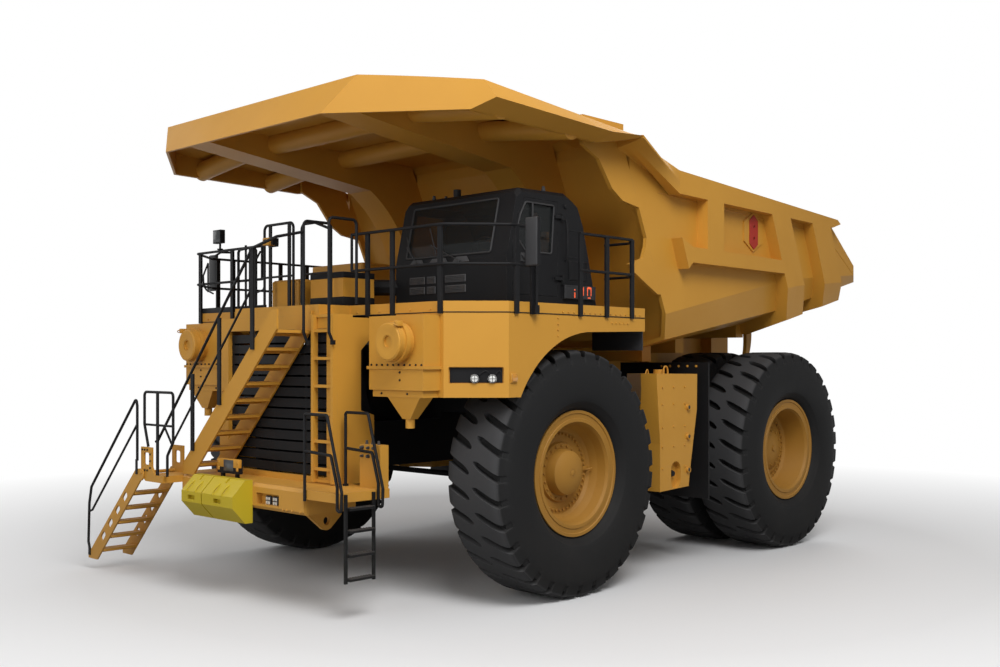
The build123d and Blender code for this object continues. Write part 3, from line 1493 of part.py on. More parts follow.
# ================================================================ hoist
barrel_length = 1330
stage_start = 180
hoist_rise = hoist_eye_z - hoist_foot_z
hoist_run = hoist_eye_aft - hoist_foot_aft
hoist_length = math.hypot(hoist_rise, hoist_run)
hoist_direction = (0, hoist_run / hoist_length, hoist_rise / hoist_length)
for side, sign in sides:
    foot = (sign * hoist_x, aft(hoist_foot_aft), hoist_foot_z)
    hoist_plane = Plane(origin=foot, x_dir=(1, 0, 0), z_dir=hoist_direction)
    foot_plane = Plane(origin=(sign * hoist_x - 75, aft(hoist_foot_aft), hoist_foot_z), z_dir=(1, 0, 0))
    with BuildPart() as hoist_barrel:
        with BuildSketch(hoist_plane):
            Circle(barrel_radius)
        extrude(amount=barrel_length)
        with BuildSketch(hoist_plane.offset(barrel_length - 90)):
            Circle(barrel_radius + 22)
        extrude(amount=90)
        with BuildSketch(foot_plane):
            Circle(120)
        extrude(amount=150)
        with BuildSketch(hoist_plane.offset(stage_start - 10)):
            Circle(stage_radius + slide_clearance)
        extrude(amount=barrel_length, mode=Mode.SUBTRACT)
        with BuildSketch(foot_plane.offset(-200)):
            Circle(hoist_pin_radius + pin_clearance)
        extrude(amount=500, mode=Mode.SUBTRACT)
    finish(hoist_barrel, f"hoist_barrel_{side}")
    with BuildPart() as hoist_stage:
        with BuildSketch(hoist_plane.offset(stage_start)):
            Circle(stage_radius)
            Circle(rod_radius + slide_clearance, mode=Mode.SUBTRACT)
        extrude(amount=barrel_length - stage_start + 50)
    finish(hoist_stage, f"hoist_stage_{side}")
    eye_plane = Plane(origin=(sign * hoist_x - 70, aft(hoist_eye_aft), hoist_eye_z), z_dir=(1, 0, 0))
    with BuildPart() as hoist_rod:
        with BuildSketch(hoist_plane.offset(stage_start + 10)):
            Circle(rod_radius)
        extrude(amount=hoist_length - stage_start - 70)
        with BuildSketch(eye_plane):
            Circle(115)
        extrude(amount=140)
    finish(hoist_rod, f"hoist_rod_{side}")
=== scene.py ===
"""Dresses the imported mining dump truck: paint, rubber, glass and the fine parts on its bodies.

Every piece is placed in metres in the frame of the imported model: +X is the truck's left,
-Y its nose, +Z up, floor at Z = 0.
"""

import json
import logging
import math
from collections.abc import Iterator, Sequence
from contextlib import contextmanager
from dataclasses import dataclass
from enum import Enum

import bpy
from mathutils import Matrix, Vector

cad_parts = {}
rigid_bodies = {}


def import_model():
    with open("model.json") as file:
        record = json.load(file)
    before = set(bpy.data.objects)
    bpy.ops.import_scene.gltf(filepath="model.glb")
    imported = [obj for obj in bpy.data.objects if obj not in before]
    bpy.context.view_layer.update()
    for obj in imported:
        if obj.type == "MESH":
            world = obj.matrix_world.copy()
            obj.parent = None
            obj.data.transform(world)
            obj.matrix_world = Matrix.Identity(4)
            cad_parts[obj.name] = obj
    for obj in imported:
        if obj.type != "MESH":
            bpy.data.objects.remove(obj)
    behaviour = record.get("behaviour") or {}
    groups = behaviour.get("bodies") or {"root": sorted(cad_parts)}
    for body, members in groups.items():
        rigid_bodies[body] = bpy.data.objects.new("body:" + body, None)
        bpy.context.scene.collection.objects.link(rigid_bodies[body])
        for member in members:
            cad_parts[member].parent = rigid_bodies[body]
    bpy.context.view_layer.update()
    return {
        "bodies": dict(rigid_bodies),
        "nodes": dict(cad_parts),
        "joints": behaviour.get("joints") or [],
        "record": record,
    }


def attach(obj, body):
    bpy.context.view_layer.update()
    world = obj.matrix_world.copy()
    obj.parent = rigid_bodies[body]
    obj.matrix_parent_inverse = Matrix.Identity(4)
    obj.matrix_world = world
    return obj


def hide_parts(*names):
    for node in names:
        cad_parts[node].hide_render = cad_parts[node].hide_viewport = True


log = logging.getLogger("truck")

Colour = tuple[float, float, float]
Spot = tuple[float, float, float]

FRONT_AXLE_Y = -2.775
REAR_AXLE_Y = 3.045
HUB_Z = 1.710
DECK_Z = 4.030
SIDES = (("left", 1.0), ("right", -1.0))
OUTSIDE_X = 4.2
AHEAD_OF_NOSE = -4.0


def aft(distance: float) -> float:
    """Return the Y of a place this far behind the front axle."""
    return FRONT_AXLE_Y + distance


class Axis(Enum):
    """Directions that turned pieces stand along."""

    LEFT = (1.0, 0.0, 0.0)
    RIGHT = (-1.0, 0.0, 0.0)
    NOSE = (0.0, -1.0, 0.0)
    TAIL = (0.0, 1.0, 0.0)
    UP = (0.0, 0.0, 1.0)
    DOWN = (0.0, 0.0, -1.0)

    @property
    def way(self) -> Vector:
        """Return the direction as a vector."""
        return Vector(self.value)


# ------------------------------------------------------------------ shared shader groups
class NodeTree:
    """Thin wrapper that adds and joins shader nodes."""

    def __init__(self, tree: bpy.types.NodeTree) -> None:
        """Keep the tree that nodes are added to."""
        self.tree = tree

    def add(self, kind: str, **settings: object) -> bpy.types.Node:
        """Add a node and set its properties.

        Args:
            kind: The node's type name without its ShaderNode prefix.
            settings: Properties of the node, by name.

        Returns:
            The new node.
        """
        node = self.tree.nodes.new(f"ShaderNode{kind}")
        for name, value in settings.items():
            setattr(node, name, value)
        return node

    def feed(self, node: bpy.types.Node, **inputs: object) -> bpy.types.Node:
        """Give a node's inputs a value or a link each.

        Args:
            node: The node whose inputs are set.
            inputs: Socket names with underscores for spaces; an output socket is linked.

        Returns:
            The same node.
        """
        for name, value in inputs.items():
            socket = node.inputs[name.replace("_", " ")]
            if isinstance(value, bpy.types.NodeSocket):
                self.tree.links.new(value, socket)
            else:
                socket.default_value = value
        return node

    def math(
        self, operation: str, first: object, second: object = 0.0, clamp: bool = False
    ) -> bpy.types.NodeSocket:
        """Add a Math node and return its output.

        Args:
            operation: The operation's name.
            first: A number or a socket.
            second: A number or a socket.
            clamp: Whether the result is kept between 0 and 1.

        Returns:
            The output socket.
        """
        node = self.add("Math", operation=operation, use_clamp=clamp)
        for socket, value in zip(node.inputs, (first, second)):
            if isinstance(value, bpy.types.NodeSocket):
                self.tree.links.new(value, socket)
            else:
                socket.default_value = value
        return node.outputs[0]

    def blend(self, factor: object, first: object, second: object) -> bpy.types.NodeSocket:
        """Mix two colours.

        Args:
            factor: Number or socket, 0 for the first colour.
            first: Colour or socket.
            second: Colour or socket.

        Returns:
            The mixed colour's socket.
        """
        node = self.add("Mix", data_type="RGBA")
        for index, value in ((0, factor), (6, first), (7, second)):
            if isinstance(value, bpy.types.NodeSocket):
                self.tree.links.new(value, node.inputs[index])
            else:
                plain = (*value, 1.0) if isinstance(value, tuple) else value
                node.inputs[index].default_value = plain
        return node.outputs[2]


class SurfaceGroups:
    """Builds the node groups that several finishes share, each one once."""

    def __init__(self) -> None:
        """Build every group."""
        self.wear = self.edge_wear()
        self.dust = self.settled_dust()
        self.grain = self.fine_grain()

    @staticmethod
    def empty(
        name: str, inputs: dict[str, float], outputs: tuple[str, ...]
    ) -> tuple[NodeTree, bpy.types.Node, bpy.types.Node]:
        """Start a group with float inputs and outputs.

        Args:
            name: The group's name.
            inputs: Default value of each input, by name.
            outputs: Names of the outputs.

        Returns:
            The wrapped tree, its input node and its output node.
        """
        group = bpy.data.node_groups.new(name, "ShaderNodeTree")
        for label, value in inputs.items():
            socket = group.interface.new_socket(
                label, in_out="INPUT", socket_type="NodeSocketFloat"
            )
            socket.default_value = value
        for label in outputs:
            group.interface.new_socket(label, in_out="OUTPUT", socket_type="NodeSocketFloat")
        tree = NodeTree(group)
        return tree, group.nodes.new("NodeGroupInput"), group.nodes.new("NodeGroupOutput")

    def edge_wear(self) -> bpy.types.NodeTree:
        """Build the mask of rubbed edges: bevelled normal against the true one, broken by noise."""
        edge_gain, chip_level, chip_gain = 3.5, 0.42, 5.0
        tree, inlet, outlet = self.empty("edge_wear", {"Radius": 0.012, "Scale": 9.0}, ("Mask",))
        soft = tree.add("Bevel", samples=4)
        tree.feed(soft, Radius=inlet.outputs["Radius"])
        true = tree.add("NewGeometry")
        dot = tree.add("VectorMath", operation="DOT_PRODUCT")
        tree.tree.links.new(soft.outputs[0], dot.inputs[0])
        tree.tree.links.new(true.outputs["Normal"], dot.inputs[1])
        place = tree.add("TexCoord")
        noise = tree.add("TexNoise")
        tree.feed(noise, Vector=place.outputs["Object"], Scale=inlet.outputs["Scale"], Detail=6.0)
        edge = tree.math("SUBTRACT", 1.0, dot.outputs["Value"], clamp=True)
        edge = tree.math("MULTIPLY", edge, edge_gain, clamp=True)
        broken = tree.math("SUBTRACT", noise.outputs[0], chip_level, clamp=True)
        broken = tree.math("MULTIPLY", broken, chip_gain, clamp=True)
        mask = tree.math("MULTIPLY", edge, broken, clamp=True)
        tree.tree.links.new(mask, outlet.inputs["Mask"])
        return tree.tree

    def settled_dust(self) -> bpy.types.NodeTree:
        """Build the mask of dust: upward faces and low parts, in soft patches."""
        upward_share, patch_level, patch_gain = 0.5, 0.3, 2.2
        tree, inlet, outlet = self.empty("settled_dust", {"Reach": 2.2, "Scale": 0.9}, ("Mask",))
        place = tree.add("TexCoord")
        split = tree.add("SeparateXYZ")
        tree.tree.links.new(place.outputs["Object"], split.inputs[0])
        noise = tree.add("TexNoise")
        tree.feed(
            noise, Vector=place.outputs["Object"], Scale=inlet.outputs["Scale"], Detail=8.0,
            Roughness=0.62,
        )
        fall = tree.math("DIVIDE", split.outputs["Z"], inlet.outputs["Reach"])
        low = tree.math("SUBTRACT", 1.0, fall, clamp=True)
        geometry = tree.add("NewGeometry")
        facing = tree.add("SeparateXYZ")
        tree.tree.links.new(geometry.outputs["Normal"], facing.inputs[0])
        up = tree.math("MULTIPLY", facing.outputs["Z"], upward_share, clamp=True)
        both = tree.math("ADD", low, up, clamp=True)
        patch = tree.math("SUBTRACT", noise.outputs[0], patch_level, clamp=True)
        patch = tree.math("MULTIPLY", patch, patch_gain, clamp=True)
        mask = tree.math("MULTIPLY", both, patch, clamp=True)
        tree.tree.links.new(mask, outlet.inputs["Mask"])
        return tree.tree

    def fine_grain(self) -> bpy.types.NodeTree:
        """Build the height of a fine surface grain over slow waviness."""
        tree, inlet, outlet = self.empty(
            "fine_grain", {"Scale": 260.0, "Wave": 1.6}, ("Height", "Cloud")
        )
        place = tree.add("TexCoord")
        fine = tree.add("TexNoise")
        tree.feed(fine, Vector=place.outputs["Object"], Scale=inlet.outputs["Scale"], Detail=3.0)
        slow = tree.add("TexNoise")
        tree.feed(slow, Vector=place.outputs["Object"], Scale=inlet.outputs["Wave"], Detail=5.0)
        part = tree.math("MULTIPLY", fine.outputs[0], 0.25)
        height = tree.math("ADD", part, slow.outputs[0])
        tree.tree.links.new(height, outlet.inputs["Height"])
        tree.tree.links.new(slow.outputs[0], outlet.inputs["Cloud"])
        return tree.tree


# ------------------------------------------------------------------ finishes
DUST_COLOUR = (0.36, 0.31, 0.25)
DUST_ROUGHNESS = 0.4
LUG_FOOT_RADIUS = 1.640
LUG_FADE = 0.045


@dataclass(frozen=True)
class Finish:
    """One opaque finish of the truck.

    Attributes:
        name: The material's name.
        colour: Linear base colour.
        shade: Linear colour that slow patches shift towards.
        roughness: Lowest roughness.
        rough_span: How much roughness rises with the patches.
        metallic: Plain metallic value.
        coat: Clear coat weight.
        grain_scale: Scale of the fine grain.
        bump: Height of the bump in metres.
        wear_colour: Colour under rubbed edges.
        wear: How strongly edges show it.
        dust: How strongly dust shows.
        sheen: Level of its plain reflection.
        tread: Linear colour of a tyre's lug faces near its full radius, lighter than its grooves
            and sidewalls, or None.
    """

    name: str
    colour: Colour
    shade: Colour
    roughness: float = 0.4
    rough_span: float = 0.12
    metallic: float = 0.0
    coat: float = 0.0
    grain_scale: float = 260.0
    bump: float = 0.0006
    wear_colour: Colour = (0.23, 0.16, 0.10)
    wear: float = 0.35
    dust: float = 0.18
    sheen: float = 0.32
    tread: Colour | None = None

    @staticmethod
    def lug_mask(tree: NodeTree) -> bpy.types.NodeSocket:
        """Return the mask of everything near a tyre's full radius, on either axle."""
        place = tree.add("TexCoord")
        split = tree.add("SeparateXYZ")
        tree.tree.links.new(place.outputs["Object"], split.inputs[0])
        gaps = [
            tree.math("ABSOLUTE", tree.math("SUBTRACT", split.outputs["Y"], axle))
            for axle in (FRONT_AXLE_Y, REAR_AXLE_Y)
        ]
        along = tree.math("POWER", tree.math("MINIMUM", *gaps), 2.0)
        rise = tree.math(
            "POWER", tree.math("ABSOLUTE", tree.math("SUBTRACT", split.outputs["Z"], HUB_Z)), 2.0
        )
        radius = tree.math("SQRT", tree.math("ADD", along, rise))
        return tree.math(
            "DIVIDE", tree.math("SUBTRACT", radius, LUG_FOOT_RADIUS), LUG_FADE, clamp=True
        )

    def build(self, groups: SurfaceGroups) -> bpy.types.Material:
        """Make the material.

        Args:
            groups: The shared shader groups.

        Returns:
            The material.
        """
        material = bpy.data.materials.new(self.name)
        material.use_nodes = True
        tree = NodeTree(material.node_tree)
        shader = tree.tree.nodes["Principled BSDF"]
        grain = tree.add("Group", node_tree=groups.grain)
        tree.feed(grain, Scale=self.grain_scale)
        cloud = tree.math("MULTIPLY", grain.outputs["Cloud"], 1.0)
        colour = tree.blend(cloud, self.colour, self.shade)
        if self.tread is not None:
            colour = tree.blend(self.lug_mask(tree), colour, self.tread)
        if self.wear > 0:
            wear = tree.add("Group", node_tree=groups.wear)
            amount = tree.math("MULTIPLY", wear.outputs["Mask"], self.wear)
            colour = tree.blend(amount, colour, self.wear_colour)
        dust = tree.add("Group", node_tree=groups.dust)
        settled = tree.math("MULTIPLY", dust.outputs["Mask"], self.dust)
        colour = tree.blend(settled, colour, DUST_COLOUR)
        rough = tree.math("MULTIPLY", grain.outputs["Cloud"], self.rough_span)
        rough = tree.math("ADD", rough, self.roughness)
        dusty = tree.math("MULTIPLY", settled, DUST_ROUGHNESS)
        rough = tree.math("ADD", rough, dusty, clamp=True)
        bump = tree.add("Bump")
        tree.feed(bump, Height=grain.outputs["Height"], Distance=self.bump, Strength=0.6)
        tree.feed(shader, Base_Color=colour, Roughness=rough, Metallic=self.metallic)
        tree.feed(
            shader, Coat_Weight=self.coat, Specular_IOR_Level=self.sheen, Normal=bump.outputs[0]
        )
        return material


YELLOW = Finish("yellow_paint", (0.610, 0.300, 0.038), (0.550, 0.263, 0.033), 0.48, 0.10, coat=0.03)
# Darker yellow for rims, studs, caps and valves: painted shade standing in for the shade in the
# deep wheel dishes, not a paint of its own.
WHEEL_YELLOW_PAINTED_SHADE = Finish("wheel_yellow_painted_shade", (0.400, 0.195, 0.026), (0.340, 0.160, 0.021), 0.52, 0.10, dust=0.10)
BLACK = Finish(
    "black_paint", (0.008, 0.008, 0.009), (0.013, 0.013, 0.014), 0.46,
    wear_colour=(0.10, 0.10, 0.10), dust=0.03, sheen=0.16,
)
RUBBER = Finish(
    "tyre_rubber", (0.011, 0.011, 0.0115), (0.017, 0.017, 0.0175), 0.62, 0.2, bump=0.0015,
    wear=0.45, wear_colour=(0.09, 0.09, 0.092), dust=0.03, sheen=0.2, tread=(0.050, 0.050, 0.052),
)
CHOCK = Finish("chock_paint", (0.560, 0.420, 0.012), (0.500, 0.370, 0.010), 0.50, 0.10)
RED = Finish("red_plate", (0.420, 0.030, 0.018), (0.360, 0.024, 0.014), 0.42, 0.10)
GREY = Finish("worn_steel", (0.060, 0.060, 0.063), (0.080, 0.080, 0.083), 0.48, 0.12, metallic=0.3)
MAT = Finish(
    "grip_mat", (0.020, 0.020, 0.020), (0.030, 0.030, 0.030), 0.85, 0.1, grain_scale=120.0,
    bump=0.003, wear=0.0,
)
PLASTIC = Finish(
    "moulded_plastic", (0.030, 0.030, 0.032), (0.042, 0.042, 0.044), 0.5, 0.1, grain_scale=700.0,
    wear=0.0,
)
SCREEN = Finish(
    "dark_screen", (0.060, 0.064, 0.068), (0.10, 0.105, 0.11), 0.15, 0.05, wear=0.0, dust=0.0
)
SEAT = Finish(
    "seat_cloth", (0.035, 0.035, 0.04), (0.06, 0.06, 0.065), 0.9, 0.05, grain_scale=900.0, wear=0.0
)
CHROME = Finish(
    "bright_rod", (0.62, 0.62, 0.63), (0.55, 0.55, 0.56), 0.14, 0.08, metallic=1.0, wear=0.0,
    dust=0.05,
)


class Palette:
    """All materials, made once."""

    def __init__(self) -> None:
        """Build every finish."""
        groups = SurfaceGroups()
        self.by_slot: dict[str, bpy.types.Material] = {
            "yellow_paint": YELLOW.build(groups),
            "black_paint": BLACK.build(groups),
            "tyre": RUBBER.build(groups),
            "seat_cloth": SEAT.build(groups),
            "bright_rod": CHROME.build(groups),
            "chock_paint": CHOCK.build(groups),
            "glass": self.tinted_glass(),
        }
        # Wheel yellow with painted shade of the deep dishes.
        self.wheel = WHEEL_YELLOW_PAINTED_SHADE.build(groups)
        self.red = RED.build(groups)
        self.grey = GREY.build(groups)
        self.mat = MAT.build(groups)
        self.plastic = PLASTIC.build(groups)
        self.screen = SCREEN.build(groups)
        self.lamp = self.lens("lamp_lens", (0.90, 0.90, 0.86), 60.0)
        self.amber = self.lens("amber_lens", (0.62, 0.26, 0.02), 90.0)
        self.digits = self.lit_digits()

    @staticmethod
    def tinted_glass() -> bpy.types.Material:
        """Make the cab's dark see-through glass."""
        material = bpy.data.materials.new("tinted_glass")
        material.use_nodes = True
        tree = NodeTree(material.node_tree)
        shader = tree.tree.nodes["Principled BSDF"]
        place = tree.add("TexCoord")
        noise = tree.add("TexNoise")
        tree.feed(noise, Vector=place.outputs["Object"], Scale=3.0)
        tint = tree.blend(noise.outputs[0], (0.018, 0.020, 0.020), (0.028, 0.031, 0.031))
        tree.feed(shader, Base_Color=tint, Roughness=0.04, Alpha=0.42)
        return material

    @staticmethod
    def lens(name: str, colour: Colour, scale: float) -> bpy.types.Material:
        """Make a ribbed lamp lens.

        Args:
            name: The material's name.
            colour: Linear colour of the lens.
            scale: Ribs per metre.

        Returns:
            The material.
        """
        material = bpy.data.materials.new(name)
        material.use_nodes = True
        tree = NodeTree(material.node_tree)
        shader = tree.tree.nodes["Principled BSDF"]
        place = tree.add("TexCoord")
        ribs = tree.add("TexWave")
        tree.feed(ribs, Vector=place.outputs["Object"], Scale=scale, Distortion=0.4)
        tone = tree.blend(ribs.outputs[1], colour, tuple(0.72 * part for part in colour))
        bump = tree.add("Bump")
        tree.feed(bump, Height=ribs.outputs[1], Distance=0.002, Strength=0.5)
        tree.feed(shader, Base_Color=tone, Roughness=0.12, Normal=bump.outputs[0], Coat_Weight=0.8)
        return material

    @staticmethod
    def lit_digits() -> bpy.types.Material:
        """Make the glowing bars of the number display."""
        material = bpy.data.materials.new("lit_digits")
        material.use_nodes = True
        tree = NodeTree(material.node_tree)
        shader = tree.tree.nodes["Principled BSDF"]
        place = tree.add("TexCoord")
        dots = tree.add("TexVoronoi")
        tree.feed(dots, Vector=place.outputs["Object"], Scale=90.0)
        glow = tree.blend(dots.outputs[0], (0.95, 0.16, 0.05), (0.75, 0.07, 0.02))
        tree.feed(
            shader, Base_Color=glow, Roughness=0.5, Emission_Color=glow, Emission_Strength=0.6
        )
        return material


# ------------------------------------------------------------------ bench work
@contextmanager
def editing(piece: bpy.types.Object) -> Iterator[None]:
    """Open a piece in edit mode and close it again.

    Args:
        piece: The mesh object that is shaped.
    """
    bpy.context.view_layer.objects.active = piece
    bpy.ops.object.mode_set(mode="EDIT")
    try:
        yield
    finally:
        bpy.ops.object.mode_set(mode="OBJECT")


def pick_faces(piece: bpy.types.Object, wanted: Sequence[bool]) -> None:
    """Select faces of a mesh by a list of flags, and nothing else."""
    mesh = piece.data
    mesh.vertices.foreach_set("select", [False] * len(mesh.vertices))
    mesh.edges.foreach_set("select", [False] * len(mesh.edges))
    mesh.polygons.foreach_set("select", list(wanted))


def turn_to(way: Vector, place: Spot) -> Matrix:
    """Return the matrix that stands a piece made along +Z at a place, along a direction."""
    return Matrix.Translation(place) @ way.to_track_quat("Z", "Y").to_matrix().to_4x4()


class Bench:
    """Makes pieces with the usual modelling steps and settles them on the truck."""

    def __init__(self, frame: dict, palette: Palette) -> None:
        """Keep the frame and the materials, and pick face mode for edit work."""
        self.nodes: dict[str, bpy.types.Object] = frame["nodes"]
        self.palette = palette
        self.made = 0
        bpy.context.tool_settings.mesh_select_mode = (False, False, True)

    @staticmethod
    def clear() -> None:
        """Deselect everything."""
        bpy.ops.object.select_all(action="DESELECT")

    def fix_place(self, piece: bpy.types.Object) -> None:
        """Move a piece's place into its mesh, so that its object sits at the origin."""
        self.clear()
        piece.select_set(True)
        bpy.context.view_layer.objects.active = piece
        bpy.ops.object.transform_apply(location=True, rotation=True, scale=True)

    def settle(
        self,
        piece: bpy.types.Object | Sequence[bpy.types.Object],
        name: str,
        body: str,
        slot: str,
        material: bpy.types.Material | None = None,
        smooth: float = 35.0,
    ) -> bpy.types.Object:
        """Name a piece, dress it and let it ride.

        Args:
            piece: The finished mesh object, or its parts, which are joined first.
            name: The piece's name.
            body: The body it moves with.
            slot: The record's slot it takes its finish from.
            material: Another finish than the slot's own.
            smooth: Angle in degrees under which edges are shaded smooth.

        Returns:
            The same object.
        """
        if not isinstance(piece, bpy.types.Object):
            piece = self.join(piece)
        piece.name = name
        piece.data.name = name
        piece.data.materials.clear()
        piece.data.materials.append(material or self.palette.by_slot[slot])
        self.clear()
        piece.select_set(True)
        bpy.context.view_layer.objects.active = piece
        bpy.ops.object.shade_smooth_by_angle(angle=math.radians(smooth))
        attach(piece, body)
        self.made += 1
        log.info("made %s on %s", name, body)
        return piece

    def block(
        self, low: Spot, high: Spot, bevel: float = 0.006, rings: int = 2
    ) -> bpy.types.Object:
        """Make a block between two corners with rounded edges.

        Args:
            low: One corner.
            high: The opposite corner.
            bevel: Width of the rounding.
            rings: Segments of the rounding.

        Returns:
            The block.
        """
        self.clear()
        middle = [(a + b) / 2 for a, b in zip(low, high)]
        bpy.ops.mesh.primitive_cube_add(size=1.0, location=middle)
        piece = bpy.context.object
        piece.scale = [abs(b - a) for a, b in zip(low, high)]
        self.fix_place(piece)
        with editing(piece):
            bpy.ops.mesh.select_all(action="SELECT")
            bpy.ops.mesh.bevel(offset=bevel, segments=rings, affect="EDGES", clamp_overlap=True)
        return piece

    def turned(
        self,
        place: Spot,
        way: Vector,
        radius: float,
        depth: float,
        steps: Sequence[tuple[float, float]] = (),
        sides: int = 32,
        bevel: float = 0.0,
    ) -> bpy.types.Object:
        """Make a stepped round piece from its seat outwards.

        Args:
            place: Middle of its seat.
            way: Direction away from the seat.
            radius: Radius of its first drum.
            depth: Height of its first drum.
            steps: Inset and rise of each further step of its face.
            sides: Corners of its outline.
            bevel: Rounding of its edges.

        Returns:
            The piece.
        """
        self.clear()
        bpy.ops.mesh.primitive_cylinder_add(
            vertices=sides, radius=radius, depth=depth, location=(0, 0, depth / 2)
        )
        piece = bpy.context.object
        self.fix_place(piece)
        pick_faces(piece, [face.normal.z > 0.9 for face in piece.data.polygons])
        with editing(piece):
            for inset, rise in steps:
                bpy.ops.mesh.inset(thickness=inset, depth=rise)
            if bevel:
                bpy.ops.mesh.select_all(action="SELECT")
        if bevel:
            self.soften(piece, bevel)
        piece.data.transform(turn_to(way, place))
        return piece

    def soften(
        self, piece: bpy.types.Object, width: float, rings: int = 2, angle: float = 35.0
    ) -> None:
        """Round the sharp edges of a piece with a bevel modifier that is applied.

        Args:
            piece: The piece.
            width: Width of the rounding.
            rings: Segments of the rounding.
            angle: Edges sharper than this are rounded.
        """
        self.clear()
        piece.select_set(True)
        bpy.context.view_layer.objects.active = piece
        round_off = piece.modifiers.new("soft_edges", "BEVEL")
        round_off.width = width
        round_off.segments = rings
        round_off.limit_method = "ANGLE"
        round_off.angle_limit = math.radians(angle)
        bpy.ops.object.modifier_apply(modifier=round_off.name)

    def plate(self, outline: Sequence[Spot], lift: Spot, bevel: float = 0.003) -> bpy.types.Object:
        """Make a flat plate from its outline.

        Args:
            outline: Corners of one face, in order.
            lift: How far and which way the plate is thick.
            bevel: Rounding of its edges.

        Returns:
            The plate.
        """
        self.clear()
        bpy.ops.mesh.primitive_circle_add(vertices=len(outline), radius=1.0, fill_type="NGON")
        piece = bpy.context.object
        for vertex, spot in zip(piece.data.vertices, outline):
            vertex.co = spot
        with editing(piece):
            bpy.ops.mesh.select_all(action="SELECT")
            bpy.ops.mesh.extrude_region_move(TRANSFORM_OT_translate={"value": lift})
            bpy.ops.mesh.select_all(action="SELECT")
            bpy.ops.mesh.normals_make_consistent(inside=False)
        if bevel:
            self.soften(piece, bevel, rings=1)
        return piece

    def pipe(self, route: Sequence[Spot], radius: float, smooth: bool = True) -> bpy.types.Object:
        """Bend a rigid pipe or rod along a route.

        Args:
            route: Its corner points.
            radius: Its radius.
            smooth: Whether it bends softly at its corners.

        Returns:
            The pipe as a mesh.
        """
        self.clear()
        line = bpy.data.curves.new("pipe", "CURVE")
        line.dimensions = "3D"
        line.bevel_depth = radius
        line.bevel_resolution = 2
        line.use_fill_caps = True
        line.resolution_u = 6
        run = line.splines.new("NURBS" if smooth else "POLY")
        run.points.add(len(route) - 1)
        for point, spot in zip(run.points, route):
            point.co = (*spot, 1.0)
        if smooth:
            run.order_u = 3
            run.use_endpoint_u = True
        piece = bpy.data.objects.new("pipe", line)
        bpy.context.collection.objects.link(piece)
        piece.select_set(True)
        bpy.context.view_layer.objects.active = piece
        bpy.ops.object.convert(target="MESH")
        return bpy.context.object

    def repeat(self, template: bpy.types.Object, places: Sequence[Matrix]) -> bpy.types.Object:
        """Copy a finished piece to its places, each with its own mesh, and join them.

        Args:
            template: The piece that is copied; it is used up.
            places: Where each copy goes.

        Returns:
            The joined piece.
        """
        copies = []
        for place in places:
            copy = template.copy()
            copy.data = template.data.copy()
            copy.data.transform(place)
            bpy.context.collection.objects.link(copy)
            copies.append(copy)
        bpy.data.objects.remove(template)
        return self.join(copies)

    def join(self, parts: Sequence[bpy.types.Object]) -> bpy.types.Object:
        """Join pieces into one object and return it."""
        self.clear()
        for part in parts:
            part.select_set(True)
        bpy.context.view_layer.objects.active = parts[0]
        if len(parts) > 1:
            bpy.ops.object.join()
        return bpy.context.view_layer.objects.active

    def bolt(self, radius: float = 0.016, height: float = 0.014) -> bpy.types.Object:
        """Make one hexagon bolt head on its washer, standing on the origin along +Z."""
        return self.turned(
            (0, 0, 0), Axis.UP.way, radius * 1.45, height * 0.2,
            steps=((radius * 0.32, 0.0), (0.0, height * 0.75), (radius * 0.22, height * 0.2)),
            sides=6,
        )

    def touch(self, node: str, start: Spot, way: Vector) -> Vector | None:
        """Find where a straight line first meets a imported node.

        Args:
            node: The node's name.
            start: Where the line starts.
            way: Its direction.

        Returns:
            The place, or None where it misses.
        """
        hit, place, _, _ = self.nodes[node].ray_cast(Vector(start), way)
        return place if hit else None

    def bolt_rows(
        self, name: str, node: str, body: str, slot: str, way: Vector, starts: Sequence[Spot],
        radius: float = 0.016,
    ) -> None:
        """Seat bolts on a node where lines along a direction meet it.

        Args:
            name: Name of the joined bolts.
            node: The node that carries them.
            body: The body they move with.
            slot: The record's slot of their finish.
            way: Direction in which each bolt is put on.
            starts: Where each line starts, off the node.
            radius: Radius of each head.
        """
        seats = [self.touch(node, start, way) for start in starts]
        places = [turn_to(-way, seat) for seat in seats if seat is not None]
        if places:
            self.settle(self.repeat(self.bolt(radius), places), name, body, slot)
        else:
            log.info("no seat for %s", name)


